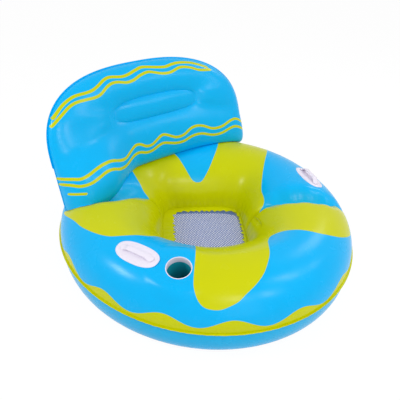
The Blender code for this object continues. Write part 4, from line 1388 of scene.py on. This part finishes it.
def net_tree(material, sizes):
    """A flat net with a square hole in each cell, set on the diagonal and cut to a rounded square."""
    tree, size, identifiers = size_tree("seat net", sizes)
    place = add_node(tree, "GeometryNodeInputPosition", out=0)
    spot = add_node(tree, "ShaderNodeSeparateXYZ", {0: place}).outputs
    values = {"x": spot["X"], "y": spot["Y"], **{label: size[label] for label in sizes}}
    add_steps(tree, "ShaderNodeMath", NET_STEPS, values)
    side, count = values["side"], values["count"]
    cells = add_node(
        tree, "GeometryNodeMeshGrid",
        {"Size X": side, "Size Y": side, "Vertices X": count, "Vertices Y": count}, "Mesh"
    )
    cells = add_node(tree, "GeometryNodeTransform", {"Geometry": cells, "Rotation": (0, 0, math.pi / 4)}, 0)
    cells = add_node(
        tree, "GeometryNodeDeleteGeometry",
        {"Geometry": cells, "Selection": values["outside"]}, 0, domain="FACE"
    )
    holes = add_node(
        tree, "GeometryNodeExtrudeMesh",
        {"Mesh": cells, "Offset Scale": 0.0, "Individual": True}, mode="FACES"
    )
    opened = add_node(
        tree, "GeometryNodeScaleElements",
        {"Geometry": holes.outputs["Mesh"], "Selection": holes.outputs["Top"], "Scale": size["Hole"]},
        0, domain="FACE",
    )
    net = add_node(
        tree, "GeometryNodeDeleteGeometry",
        {"Geometry": opened, "Selection": holes.outputs["Top"]}, 0, domain="FACE"
    )
    net = add_node(tree, "GeometryNodeMergeByDistance", {"Geometry": net, "Distance": MERGE}, 0)
    thick = add_node(
        tree, "GeometryNodeExtrudeMesh",
        {"Mesh": net, "Offset Scale": size["Thickness"], "Individual": False}, "Mesh", mode="FACES"
    )
    under = add_node(tree, "GeometryNodeFlipFaces", {"Mesh": net}, 0)
    joined = add_node(tree, "GeometryNodeJoinGeometry")
    tree.links.new(thick, joined.inputs[0])
    tree.links.new(under, joined.inputs[0])
    net = add_node(
        tree, "GeometryNodeMergeByDistance", {"Geometry": joined.outputs[0], "Distance": MERGE}, 0
    )
    # The middle hangs a little, and the corners stay up
    drop = add_node(tree, "ShaderNodeCombineXYZ", {"Z": values["drop"]}, 0)
    net = add_node(tree, "GeometryNodeSetPosition", {"Geometry": net, "Offset": drop}, 0)
    lift = add_node(tree, "ShaderNodeCombineXYZ", {"Z": values["low"]}, 0)
    net = add_node(
        tree, "GeometryNodeTransform",
        {"Geometry": net, "Translation": lift, "Rotation": (0, 0, SEAT_TURN)}, 0
    )
    finish_tree(tree, net, material)
    return tree, identifiers


class POOLCHAIR_OT_net_seat(bpy.types.Operator):
    """Builds the net seat and the vinyl border that holds it in the hole"""

    bl_idname = "pool_chair.net_seat"
    bl_label = "Net seat"

    def execute(self, context):
        fittings = context.scene.pool_chair_fittings
        material = finish_named("knitted polyester net")
        sizes = {
            "Half width": NET_HALF_WIDTH, "Pitch": fittings.net_pitch, "Hole": fittings.net_hole,
            "Thickness": fittings.net_thickness, "Sag": fittings.net_sag, "Top": NET_TOP,
        }
        tree, identifiers = net_tree(material, sizes)
        net = grow("seat_net", tree, identifiers, sizes)
        settle(net)
        net.data.shade_flat()
        border = self.make_border(fittings, context.scene.pool_chair_ring.hole_gather)
        hand_over(net, material, "seat", "polyester_mesh", "seat_mesh")
        return {"FINISHED"}

    def make_border(self, fittings, gather):
        """The gathered border between the ring's hole and the net's opening."""
        angle = np.linspace(0, math.tau, BORDER_COLUMNS, endpoint=False)[None, :]
        share = np.linspace(0, 1, BORDER_ROWS)[:, None]
        outside = hole_radius(angle) - CLEARANCE * 3 + wave(angle, HOLE_WAVES, gather)
        outside = polar(outside, angle, BORDER_TOP + BORDER_RISE)
        # The far corners of the opening are squarer than the near ones
        far = smooth(0.5 + 2 * np.sin(angle - SEAT_TURN))
        squareness = mix(BORDER_NEAR_SQUARENESS, BORDER_FAR_SQUARENESS, far)
        reach = super_radius(angle - SEAT_TURN, fittings.border_opening, squareness)
        inside = polar(reach + wave(angle, HOLE_WAVES, fittings.border_wave), angle, BORDER_TOP)
        inside = inside + fittings.border_shift * np.array((math.cos(SEAT_TURN), math.sin(SEAT_TURN), 0))
        points = mix(outside, inside, share[..., None])
        # The border buckles where it is gathered, and lies down at its inner edge
        count, start, _ = HOLE_WAVES[0]
        buckle = BORDER_BUCKLE + BORDER_BUCKLE_WAVE * np.cos(count * angle + start)
        points[..., 2] += np.sin(math.pi * share) * buckle
        mesh = grid_mesh("seat_net_border", points, closed=True)
        return make_piece(
            "seat_net_border", mesh, "yellow vinyl border", "seat", "plain_vinyl_yellow", "mesh_border",
            film=BORDER_FILM,
        )


# Backrest


def foot_line(x):
    """Height, in the backrest's plane, of its lower edge before it is pressed on to the ring."""
    drop = BACK_FOOT_DROP * np.minimum(np.abs(x) / BACK_HALF_WIDTH, 1.0) ** BACK_DROP_POWER
    drop = drop + CORNER_DROP * smooth((-x - CORNER_START) / CORNER_LENGTH)
    return BACK_FOOT_RISE - drop - BACK_FOOT_PRESS


def foot_squareness(x):
    """The left foot corner is pressed squarer than the right one."""
    return np.where(np.asarray(x) < 0, BACK_LEFT_SQUARENESS, BACK_RIGHT_SQUARENESS)


def back_outline(angle):
    """Points on the backrest's outline: across, and up its plane."""
    top_x, rise = super_point(angle, BACK_HALF_WIDTH, BACK_TOP_RISE, BACK_TOP_SQUARENESS)
    foot_x, drop = super_point(angle, BACK_HALF_WIDTH, 1.0, foot_squareness(np.cos(angle)))
    upper = np.sin(angle) >= 0
    foot_v = BACK_MIDDLE + drop * (BACK_MIDDLE - foot_line(foot_x))
    return np.where(upper, top_x, foot_x), np.where(upper, BACK_MIDDLE + rise, foot_v)


def back_reach(x, v):
    """0 at the backrest's middle and 1 at its edge."""
    across = np.minimum(np.abs(x) / BACK_HALF_WIDTH, 1.0)
    up = np.maximum(v - BACK_MIDDLE, 0) / BACK_TOP_RISE
    down = np.maximum(BACK_MIDDLE - v, 0) / (BACK_MIDDLE - foot_line(x))
    top = (across**BACK_TOP_SQUARENESS + up**BACK_TOP_SQUARENESS) ** (1 / BACK_TOP_SQUARENESS)
    squareness = foot_squareness(x)
    foot = (across**squareness + down**squareness) ** (1 / squareness)
    return np.minimum(np.where(v >= BACK_MIDDLE, top, foot), 1.0)


def slot_distance(x, v):
    """Distance from the rear slot's rounded outline, 0 inside it."""
    beyond = np.maximum(np.abs(x) - SLOT_HALF_LENGTH + SLOT_HALF_HEIGHT, 0.0)
    return np.maximum(np.hypot(beyond, v - SLOT_MIDDLE) - SLOT_HALF_HEIGHT, 0.0)


def back_swell(x, v, front):
    """How far a sheet stands off the backrest's middle plane."""
    share = smooth((BACK_FULLNESS_LEVEL - v) / BACK_FULLNESS_SPREAD)
    fullness = mix(BACK_TOP_FULLNESS, BACK_FOOT_FULLNESS, share)
    swell = np.sqrt(np.maximum(1 - back_reach(x, v) ** fullness, 0.0))
    if front:
        corner = smooth((-x - CORNER_START) / CORNER_LENGTH) * smooth((CORNER_HEIGHT - v) / CORNER_HEIGHT)
        extra = bpy.context.scene.pool_chair_backrest.corner_swell * corner
        return np.maximum((BACK_FRONT_SWELL + extra) * swell - front_sink(x, v), 0.0)
    sink = SLOT_SINK * (1 - smooth(slot_distance(x, v) / SLOT_SPREAD))
    return np.maximum(BACK_REAR_SWELL * swell - sink, 0.0)


def front_sink(x, v):
    """Depth of the crease round the slot, of the floor between and of the soft dimple outside."""
    backrest = bpy.context.scene.pool_chair_backrest
    middle_x, middle_v, half_length, half_height, squareness = FRONT_SLOT
    across, up = np.abs(x - middle_x) / half_length, np.abs(v - middle_v) / half_height
    reach = (across**squareness + up**squareness) ** (1 / squareness)
    slope = np.hypot(across ** (squareness - 1) / half_length, up ** (squareness - 1) / half_height)
    slope = slope / np.maximum(reach, MERGE) ** (squareness - 1)
    beyond = np.maximum(reach - 1, 0) / np.maximum(slope, MERGE)
    floor = backrest.slot_bulge * (1 - np.minimum(reach, 1) ** 2) ** FLOOR_ROUNDNESS
    crease = backrest.slot_depth * np.exp(-beyond / CREASE_FADE)
    return crease - floor + backrest.dimple_depth * np.exp(-((beyond / DIMPLE_FADE) ** 2))


def back_point(x, v, stand_off):
    """Points in front of the backrest's middle plane; it wraps round the ring and leans back."""
    tilt = BACK_LEAN * smooth((v - foot_line(x)) / BACK_UPRIGHT_SPREAD)
    y = BACK_FOOT_Y - BACK_WRAP * x * x + v * math.sin(BACK_LEAN) - stand_off * np.cos(tilt)
    z = BACK_FOOT_Z + v * math.cos(BACK_LEAN) + stand_off * np.sin(tilt)
    return np.stack(np.broadcast_arrays(x, y, z), -1)


def even_angles(outline, count):
    """Angles that part each quarter of an outline into even lengths."""
    angles = []
    for quarter in range(4):
        start = quarter * math.pi / 2
        fine = start + (1 - np.cos(np.linspace(0, math.pi, OUTLINE_STEPS))) * math.pi / 4
        x, v = outline(fine)
        run = np.concatenate([[0], np.cumsum(np.hypot(np.diff(x), np.diff(v)))])
        angles.append(np.interp(np.arange(count) / count * run[-1], run, fine))
    return np.concatenate(angles)


def pressed(points, rise):
    """Points kept above the ring, as the pillow is pressed down on it."""
    x, y, z = np.moveaxis(points, -1, 0)
    floor = plan_place(x, y)[..., 2] + rise
    above = z - floor
    steep = np.clip(above / PRESS_SOFTNESS, -PRESS_LIMIT, PRESS_LIMIT)
    eased_above = PRESS_SOFTNESS * np.logaddexp(0, steep)
    over_ring = np.hypot(x, y) < outer_radius(np.arctan2(y, x))
    result = points.copy()
    result[..., 2] = np.where(over_ring & (above < PRESS_REACH), floor + eased_above, z)
    return result


def back_sheet(name, front):
    """A backrest sheet, from the slot's floor out to the weld round the edge."""
    backrest = bpy.context.scene.pool_chair_backrest
    film = bpy.context.scene.pool_chair_ring.film
    edge_angle = even_angles(back_outline, backrest.columns)
    middle_x, middle_v, *slot = FRONT_SLOT if front else REAR_SLOT
    slot_angle = even_angles(lambda angle: super_point(angle, *slot), backrest.columns)
    edge_x, edge_v = back_outline(edge_angle)
    slot_x, slot_v = super_point(slot_angle, *slot)
    share = eased(backrest.rows, BACK_ROW_EASE)[:, None]
    x = mix(slot_x + middle_x, edge_x, share)
    v = mix(slot_v + middle_v, edge_v, share)
    # The slot's floor closes on its own middle line
    inner = np.linspace(0, 1, backrest.floor_rows, endpoint=False)[:, None]
    spine = slot_x * (1 - slot[1] / slot[0])
    x = np.concatenate([middle_x + mix(spine, slot_x, inner), x])
    v = np.concatenate([middle_v + slot_v * inner, v])
    side = 1 if front else -1
    stand_off = back_swell(x, v, front)
    run = np.arange(4 * backrest.columns) * math.tau / (4 * backrest.columns)
    from_edge = np.concatenate([[1.0] * backrest.floor_rows, 1 - share[:, 0]])[:, None]
    stand_off = stand_off + weld_puckers(run, from_edge, backrest.pucker, *BACK_PUCKERS)
    stand_off = np.maximum(stand_off, 0) + film + CLEARANCE
    points = back_point(x, v, side * stand_off)
    # The flat lip of the weld stands out square to the outline
    step = 0.002
    ahead, behind = (np.array(back_outline(edge_angle + shift)) for shift in (step, -step))
    run_x, run_v = ahead - behind
    length = np.hypot(run_x, run_v)
    width = np.where(np.sin(edge_angle) >= 0, TOP_LIP, FOOT_LIP)
    lip_x = edge_x + run_v / length * width
    lip_v = edge_v - run_x / length * width
    lip = back_point(lip_x, lip_v, side * (film + CLEARANCE))
    points = pressed(np.concatenate([points, lip[None]]), PRESS_FRONT_GAP if front else PRESS_REAR_GAP)
    return grid_mesh(name, points, closed=True, flip=front)


class POOLCHAIR_OT_backrest(bpy.types.Operator):
    """Builds the pillow backrest: its two sheets, the web behind the slot and the weld strip"""

    bl_idname = "pool_chair.backrest"
    bl_label = "Backrest"

    def execute(self, context):
        film = context.scene.pool_chair_ring.film
        sheets = (
            ("backrest_front", True, None,
             "striped vinyl film", "printed_vinyl_blue", "backrest_front_sheet"),
            ("backrest_rear", False, valve_hole("backrest"),
             "plain blue vinyl film", "plain_vinyl_blue", "backrest_rear_sheet"),
        )
        for name, front, hole, finish, slot, node in sheets:
            mesh = back_sheet(name, front)
            item = make_piece(name, mesh, finish, None, slot, node, film=film, hole=hole)
            if front:
                print_backrest(item.data)
            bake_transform(item)
        self.make_web()
        self.make_strip()
        return {"FINISHED"}

    def make_web(self):
        """The sleeve inside the pillow that ties its sheets together along the slot."""
        angle = np.linspace(0, math.tau, WEB_COLUMNS, endpoint=False)
        half_length, half_height = SLOT_HALF_LENGTH - WEB_MARGIN, SLOT_HALF_HEIGHT - WEB_MARGIN
        x, rise = super_point(angle, half_length, half_height, SLOT_SQUARENESS)
        v = SLOT_MIDDLE + rise
        front = back_swell(x, v, True) - WEB_GAP
        rear = WEB_GAP - back_swell(x, v, False)
        share = np.linspace(0, 1, WEB_ROWS)[:, None]
        points = back_point(x + 0 * share, v + 0 * share, mix(front, rear, share))
        item = make_piece(
            "backrest_web", grid_mesh("backrest_web", points, closed=True), "clear soft vinyl",
            "backrest", "clear_vinyl", "backrest_slot_web", film=INNER_FILM,
        )

    def make_strip(self):
        """The weld strip between the pillow's foot and the ring's crown."""
        x = np.linspace(-STRIP_REACH, STRIP_REACH, STRIP_COLUMNS)[None, :]
        across = np.linspace(-STRIP_HALF_WIDTH, STRIP_HALF_WIDTH, STRIP_ROWS)[:, None]
        y = BACK_FOOT_Y - BACK_WRAP * x**2 + (foot_line(x) + BACK_FOOT_PRESS) * math.sin(BACK_LEAN)
        points = on_ring(x + 0 * across, y + across, np.full((STRIP_ROWS, STRIP_COLUMNS), STRIP_LIFT))
        item = make_piece(
            "backrest_strip", grid_mesh("backrest_strip", points), "plain blue vinyl film",
            "seat", "plain_vinyl_blue", "backrest_weld_strip", film=STRIP_THICKNESS, offset=1.0,
        )


# Fittings


def rounded_profile(corners, radius, steps=4):
    """A closed profile of (radius, height) corners, rounded except on the axis."""
    result = []
    count = len(corners)
    longest_share = 0.45
    for i in range(count):
        before, here, after = (np.array(corners[k % count], float) for k in (i - 1, i, i + 1))
        if here[0] <= MERGE:
            result.append(here)
            continue
        reach = min(radius, *(longest_share * np.linalg.norm(other - here) for other in (before, after)))
        start = here + (before - here) / np.linalg.norm(before - here) * reach
        end = here + (after - here) / np.linalg.norm(after - here) * reach
        for t in np.linspace(0, 1, steps):
            result.append((1 - t) ** 2 * start + 2 * t * (1 - t) * here + t**2 * end)
    return np.array(result)


def placed(points, matrix):
    """Points turned and moved by a matrix."""
    return points @ np.array(matrix.to_3x3()).T + np.array(matrix.translation)


def turned_points(profile, steps, matrix):
    """Rings of points for a turned piece, one for each point of its profile."""
    spin = np.linspace(0, math.tau, steps, endpoint=False)
    radius = profile[:, 0][:, None]
    points = np.stack(
        [radius * np.cos(spin), radius * np.sin(spin), profile[:, 1][:, None] + 0 * spin], -1
    )
    return placed(points, matrix)


def turned(name, corners, radius, matrix, steps):
    """A turned piece from a profile whose outer side runs downwards.

    One with a bore is closed as a ring."""
    profile = rounded_profile(corners, radius)
    points = turned_points(profile, steps, matrix)
    if profile[0][0] > MERGE:
        points = np.concatenate([points, points[:1]])
    return grid_mesh(name, points, closed=True, flip=True)


class POOLCHAIR_OT_cup_holder(bpy.types.Operator):
    """Builds the cup holder: its collar, tapering wall and floor"""

    bl_idname = "pool_chair.cup_holder"
    bl_label = "Cup holder"

    def execute(self, context):
        steps = context.scene.pool_chair_fittings.turned_steps * 2
        matrix = facing(*cup_frame())
        inner = CUP_BORE_RADIUS
        outer = inner + CUP_WALL
        seat = CLEARANCE * 1.5
        under = -COLLAR_SINK
        low = under - CUP_WALL
        collar = [
            (outer, -COLLAR_DEPTH), (inner, -COLLAR_DEPTH), (inner, LIP_RISE),
            (inner + LIP_WIDTH, LIP_CREST), (outer + LIP_WIDTH, LIP_SHOULDER),
            (outer + LIP_FOOT_WIDTH, seat), (outer, seat), (outer, under),
            (COLLAR_FLANGE_RADIUS, under), (COLLAR_FLANGE_RADIUS, low), (outer, low),
        ]
        foot = inner - CUP_TAPER
        top = -COLLAR_DEPTH - FIT_GAP
        wall = [(inner, top), (outer, top), (foot + CUP_WALL, -CUP_DEPTH), (foot, -CUP_DEPTH)]
        disc = foot - FIT_GAP
        high = CUP_WALL - CUP_DEPTH
        floor = [
            (0.0, high), (disc - FLOOR_BEVEL, high + LIP_CREST), (disc, high + LIP_RISE),
            (disc, -CUP_DEPTH), (0.0, -CUP_DEPTH),
        ]
        pieces = (
            ("cup_collar", collar, "moulded white vinyl", "white_vinyl", "cup_holder_collar"),
            ("cup_wall", wall, "moulded teal vinyl", "teal_vinyl", "cup_holder_wall"),
            ("cup_floor", floor, "moulded teal vinyl", "teal_vinyl", "cup_holder_floor"),
        )
        for name, corners, finish, slot, node in pieces:
            make_piece(name, turned(name, corners, CUP_EDGE, matrix, steps), finish, "seat", slot, node)
        return {"FINISHED"}


class POOLCHAIR_OT_handles(bpy.types.Operator):
    """Builds the two handles: an oval patch and an arched grip on each side"""

    bl_idname = "pool_chair.handles"
    bl_label = "Handles"

    def execute(self, context):
        for side in HANDLES:
            self.make_patch(side)
            self.make_grip(side)
        return {"FINISHED"}

    def raised(self, side, u, w, rise):
        """Places over the ring, u along a handle, w outwards from its middle."""
        angle, radius, _ = HANDLES[side]
        x = math.cos(angle) * (radius + w) - math.sin(angle) * u
        y = math.sin(angle) * (radius + w) + math.cos(angle) * u
        return on_ring(x, y, rise)

    def make_part(self, side, kind, mesh):
        make_piece(
            side + "_" + kind, mesh, "moulded white vinyl", "seat", "white_vinyl", side + "_handle_" + kind
        )

    def make_patch(self, side):
        """A moulded patch with a bead round its edge and two low ridges beside the grip."""
        bead = bpy.context.scene.pool_chair_fittings.rim_bead
        spin = np.linspace(0, math.tau, PATCH_COLUMNS, endpoint=False)[None, :]
        share = eased(PATCH_ROWS, PATCH_ROW_EASE)[:, None]
        unit_u, unit_w = super_point(spin, 1.0, PATCH_HALF_WIDTH, PATCH_SQUARENESS)
        straight = PATCH_HALF_LENGTH - PATCH_HALF_WIDTH
        u = (straight + PATCH_HALF_WIDTH * share) * unit_u * share**PATCH_END_PULL
        w = unit_w * share
        from_edge = (1 - share) * PATCH_HALF_WIDTH
        rim = np.exp(-((from_edge - BEAD_PLACE) / BEAD_SPREAD) ** 2)
        ridge = np.exp(-(((np.abs(w) - RIDGE_PLACE) / RIDGE_SPREAD) ** 2))
        ridge = ridge * smooth((RIDGE_HALF_LENGTH - np.abs(u)) / RIDGE_FADE)
        edge = smooth(from_edge / PATCH_EDGE_FADE)
        top = PATCH_LIFT + PATCH_THICKNESS * mix(PATCH_EDGE_SHARE, 1, edge)
        top = top + bead * rim * edge + RIDGE_HEIGHT * ridge
        underside = self.raised(side, u, w, PATCH_UNDERSIDE + 0 * top)
        points = np.concatenate([self.raised(side, u, w, top), underside[::-1]])
        self.make_part(side, "patch", grid_mesh(side + "_patch", points, closed=True, flip=True))

    def make_grip(self, side):
        """An arched strap with rounded edges, thicker along its middle."""
        u = np.linspace(-GRIP_HALF_LENGTH, GRIP_HALF_LENGTH, GRIP_COLUMNS)[:, None]
        spin = np.linspace(0, math.tau, GRIP_STEPS, endpoint=False)[None, :]
        arch = smooth((GRIP_HALF_LENGTH - GRIP_FOOT - np.abs(u)) / GRIP_SLOPE)
        end = np.sqrt(np.clip((GRIP_HALF_LENGTH - np.abs(u)) / GRIP_TIP, 0, 1))
        half_width = GRIP_HALF_WIDTH * mix(GRIP_FOOT_WIDTH, 1.0, arch) * mix(GRIP_TIP_WIDTH, 1, end)
        w, h = super_point(spin, 1.0, 0.5, GRIP_SQUARENESS)
        thick = GRIP_THICKNESS * (1 + GRIP_CROWN * np.cos(w * math.pi / 2))
        lift = PATCH_LIFT + PATCH_THICKNESS + RIDGE_HEIGHT + (HANDLES[side][2] - GRIP_THICKNESS) * arch
        points = self.raised(side, u + 0 * w, w * half_width, lift + thick * (h + 0.5))
        self.make_part(side, "grip", grid_mesh(side + "_grip", points, closed=True, caps=True))


class POOLCHAIR_OT_valves(bpy.types.Operator):
    """Builds the three valves: a welded base, a stem, a check flap and a tethered plug"""

    bl_idname = "pool_chair.valves"
    bl_label = "Valves"

    def execute(self, context):
        steps = context.scene.pool_chair_fittings.turned_steps
        for prefix, (place, axis, body, _) in VALVES.items():
            matrix = facing(Vector(place), Vector(axis))
            self.make_turned(prefix, body, matrix, steps)
            self.make_plug(prefix, matrix, steps)
        return {"FINISHED"}

    def make_part(self, prefix, kind, mesh, body):
        name = prefix + "_valve_part_" + kind
        make_piece(name, mesh, "clear soft vinyl", body, "valve_plastic", prefix + "_valve_" + kind)

    def make_turned(self, prefix, body, matrix, steps):
        """The base, which is welded to the film, and the stem and flap inside it."""
        bore = STEM_RADIUS + STEM_PLAY
        collar = BASE_FLANGE + BASE_HEIGHT
        base = [
            (bore, FIT_GAP), (bore, collar), (VALVE_COLLAR_RADIUS, collar),
            (VALVE_COLLAR_RADIUS + BASE_SLOPE, BASE_FLANGE), (VALVE_FLANGE_RADIUS, BASE_FLANGE),
            (VALVE_FLANGE_RADIUS, FIT_GAP),
        ]
        lip = STEM_LIP - STEM_INSIDE
        stem = [
            (STEM_BORE, -STEM_INSIDE), (STEM_BORE, STEM_HEIGHT), (STEM_RADIUS - STEM_CHAMFER[0], STEM_HEIGHT),
            (STEM_RADIUS, STEM_HEIGHT - STEM_CHAMFER[1]), (STEM_RADIUS, lip), (STEM_LIP_RADIUS, lip),
            (STEM_LIP_RADIUS, -STEM_INSIDE),
        ]
        top = -STEM_INSIDE - FIT_GAP
        low = top - FLAP_THICKNESS
        flap = [(0.0, top), (FLAP_RADIUS, top), (FLAP_RADIUS, low), (0.0, low)]
        pieces = (
            ("base", base, body, BASE_EDGE), ("stem", stem, prefix + "_stem", STEM_EDGE),
            ("flap", flap, prefix + "_flap", FLAP_EDGE),
        )
        for kind, corners, rider, radius in pieces:
            mesh = turned(prefix + "_valve_part_" + kind, corners, radius, matrix, steps)
            self.make_part(prefix, kind, mesh, rider)

    def make_plug(self, prefix, matrix, steps):
        """A tapered plug and its head, with a strap to a loose ring round the stem."""
        low = STEM_HEIGHT + FIT_GAP
        high = low + PLUG_HEAD
        radius = STEM_BORE - PLUG_PLAY
        plug = [
            (0.0, high), (PLUG_HEAD_RADIUS, high), (PLUG_HEAD_RADIUS, low), (radius, low),
            (radius - PLUG_TAPER, low - PLUG_LENGTH), (0.0, low - PLUG_LENGTH),
        ]
        ring_top = STEM_HEIGHT - TETHER_RING_DROP
        ring_low = ring_top - TETHER_RING_HEIGHT
        inner = STEM_RADIUS + STEM_PLAY
        outer = inner + TETHER_RING_WIDTH
        ring = [(inner, ring_top), (outer, ring_top), (outer, ring_low), (inner, ring_low)]
        name = prefix + "_valve_part_plug"
        meshes = [turned(name, corners, STEM_EDGE, matrix, steps) for corners in (plug, ring)]
        meshes.append(self.strap_mesh(name, matrix, (low + high) / 2, (ring_top + ring_low) / 2, outer))
        model = bmesh.new()
        for mesh in meshes:
            model.from_mesh(mesh)
            bpy.data.meshes.remove(mesh)
        joined = bpy.data.meshes.new(name)
        model.to_mesh(joined)
        model.free()
        joined.shade_smooth()
        self.make_part(prefix, "plug", joined, prefix + "_plug")

    def strap_mesh(self, name, matrix, high, low, ring_outer):
        """A flat strap that bows outwards from the plug's head down to the ring."""
        turn = np.linspace(math.pi / 2, -math.pi / 2, STRAP_COLUMNS)[:, None]
        middle = (high + low) / 2
        half = (high - low) / 2
        spin = np.linspace(0, math.tau, STRAP_STEPS, endpoint=False)[None, :]
        across, thick = super_point(spin, STRAP_WIDTH, STRAP_THICKNESS, STRAP_SQUARENESS)
        inner = PLUG_HEAD_RADIUS - STRAP_INSET
        reach = ring_outer + STRAP_BOW - inner
        x = inner + (reach + thick) * np.cos(turn)
        z = middle + (half + thick) * np.sin(turn)
        points = np.stack(np.broadcast_arrays(x, across + 0 * turn, z), -1)
        return grid_mesh(name, placed(points, matrix), closed=True, caps=True)


# Stage


# Lamps: direction round from +Y to +X and above the floor, width, height and power
LAMPS = (
    ("front fill", -160, 20, 1.3, 2.2, 10.0),
    ("right softbox", 88, 40, 0.6, 0.9, 10.0),
    ("camera softbox", -161, 43, 0.55, 0.5, 10.0),
    ("left softbox", -72, 37, 0.7, 0.45, 28.0),
    ("front strip", 174, 39, 0.20, 0.6, 8.0),
    ("front right strip", 141, 50, 0.24, 0.8, 10.0),
    ("near right box", 126, 36, 0.4, 0.4, 3.0),
)
LAMP_DISTANCE = 3.0
STAGE_MIDDLE = Vector((0.0, 0.0, 0.30))

# The photograph's viewpoint
CAMERA_PLACE = Vector((-0.9430, -1.0965, 1.1785))
CAMERA_AHEAD = Vector((0.5321, 0.6371, -0.5577))
CAMERA_RIGHT = Vector((0.7829, -0.6211, 0.0373))
CAMERA_LENS = 41.93
CAMERA_SENSOR = 36.0

# White paint with a glow that the camera sees, so that the floor shows as white as a sweep
FLOOR_DROP = 0.0005
FLOOR_WHITE = 0.90
FLOOR_GLOW = 1.03
FLOOR_GLOW_SHARE = 0.92
WHITE = (1, 1, 1, 1)


def shown_rays(tree):
    """1 for rays that see the background: from the camera, or by reflection or transmission."""
    path = add_node(tree, "ShaderNodeLightPath").outputs
    seen = path["Is Camera Ray"]
    for other in ("Is Glossy Ray", "Is Transmission Ray"):
        seen = add_node(tree, "ShaderNodeMath", {0: seen, 1: path[other]}, 0, operation="MAXIMUM")
    return seen


class POOLCHAIR_OT_stage(bpy.types.Operator):
    """Builds the floor, the sky, the lamps and the camera"""

    bl_idname = "pool_chair.stage"
    bl_label = "Stage"

    def execute(self, context):
        self.make_floor(context.scene.pool_chair_stage)
        self.make_world(context.scene)
        self.make_lamps(context.scene.pool_chair_stage)
        self.make_camera(context.scene)
        context.scene.view_settings.view_transform = "Standard"
        return {"FINISHED"}

    def make_floor(self, stage):
        ends = (-stage.floor_size / 2, stage.floor_size / 2)
        corners = np.array([[(x, y, -FLOOR_DROP) for x in ends] for y in ends])
        floor = new_object("floor", grid_mesh("floor", corners))
        material = bpy.data.materials.new("white floor")
        tree = empty_tree(material)
        paint = add_node(tree, "ShaderNodeBsdfDiffuse", {"Color": opaque([FLOOR_WHITE] * 3)}, 0)
        glow = add_node(tree, "ShaderNodeEmission", {"Color": WHITE, "Strength": FLOOR_GLOW}, 0)
        share = add_node(
            tree, "ShaderNodeMath", {0: shown_rays(tree), 1: FLOOR_GLOW_SHARE}, 0, operation="MULTIPLY"
        )
        mixed = add_node(tree, "ShaderNodeMixShader", {0: share, 1: paint, 2: glow}, 0)
        add_node(tree, "ShaderNodeOutputMaterial", {"Surface": mixed})
        floor.data.materials.append(material)

    def make_world(self, scene):
        world = bpy.data.worlds.new("white sky")
        scene.world = world
        tree = empty_tree(world)
        level = scene.pool_chair_stage.world_level
        strength = add_node(
            tree, "ShaderNodeMapRange",
            {"Value": shown_rays(tree), "To Min": level, "To Max": 1.0}, "Result"
        )
        sky = add_node(tree, "ShaderNodeBackground", {"Color": WHITE, "Strength": strength}, 0)
        add_node(tree, "ShaderNodeOutputWorld", {"Surface": sky})

    def make_lamps(self, stage):
        for name, azimuth, elevation, width, height, power in LAMPS:
            a, e = math.radians(azimuth), math.radians(elevation)
            aim = Vector((math.sin(a) * math.cos(e), math.cos(a) * math.cos(e), math.sin(e)))
            light = bpy.data.lights.new(name, "AREA")
            light.shape = "RECTANGLE"
            # The lamp's own X points up
            light.size = height
            light.size_y = width
            light.energy = power * stage.lamp_level
            lamp = new_object(name, light)
            lamp.matrix_world = facing(STAGE_MIDDLE + aim * LAMP_DISTANCE, aim)

    def make_camera(self, scene):
        data = bpy.data.cameras.new("camera")
        data.sensor_width = CAMERA_SENSOR
        data.lens = CAMERA_LENS
        camera = new_object("camera", data)
        ahead = CAMERA_AHEAD.normalized()
        right = (CAMERA_RIGHT - ahead * CAMERA_RIGHT.dot(ahead)).normalized()
        matrix = Matrix((right, right.cross(ahead), -ahead)).transposed().to_4x4()
        matrix.translation = CAMERA_PLACE
        camera.matrix_world = matrix
        scene.camera = camera


class POOLCHAIR_PT_panel(bpy.types.Panel):
    """Lists the pool chair's pieces and settings in the sidebar"""

    bl_idname = "POOLCHAIR_PT_panel"
    bl_label = "Pool chair"
    bl_space_type = "VIEW_3D"
    bl_region_type = "UI"
    bl_category = "Pool Chair"

    def draw(self, context):
        layout = self.layout
        for operator in OPERATORS:
            layout.operator(operator.bl_idname)
        for key, group in SETTINGS.items():
            box = layout.box()
            for name in group.__annotations__:
                box.prop(getattr(context.scene, key), name)


SETTINGS = {
    "pool_chair_ring": RingSettings,
    "pool_chair_backrest": BackrestSettings,
    "pool_chair_fittings": FittingSettings,
    "pool_chair_colours": ColourSettings,
    "pool_chair_stage": StageSettings,
}
OPERATORS = (
    POOLCHAIR_OT_stage,
    POOLCHAIR_OT_ring_top,
    POOLCHAIR_OT_ring_bottom,
    POOLCHAIR_OT_ring_walls,
    POOLCHAIR_OT_net_seat,
    POOLCHAIR_OT_backrest,
    POOLCHAIR_OT_cup_holder,
    POOLCHAIR_OT_handles,
    POOLCHAIR_OT_valves,
)


def register():
    for item in (*SETTINGS.values(), *OPERATORS, POOLCHAIR_PT_panel):
        bpy.utils.register_class(item)
    for key, group in SETTINGS.items():
        setattr(bpy.types.Scene, key, PointerProperty(type=group))


def unregister():
    for key in SETTINGS:
        delattr(bpy.types.Scene, key)
    for item in (POOLCHAIR_PT_panel, *reversed(OPERATORS), *reversed(SETTINGS.values())):
        bpy.utils.unregister_class(item)


def main():
    register()
    for operator in OPERATORS:
        group, name = operator.bl_idname.split(".")
        getattr(getattr(bpy.ops, group), name)()
    bpy.context.view_layer.update()


if __name__ == "__main__":
    main()
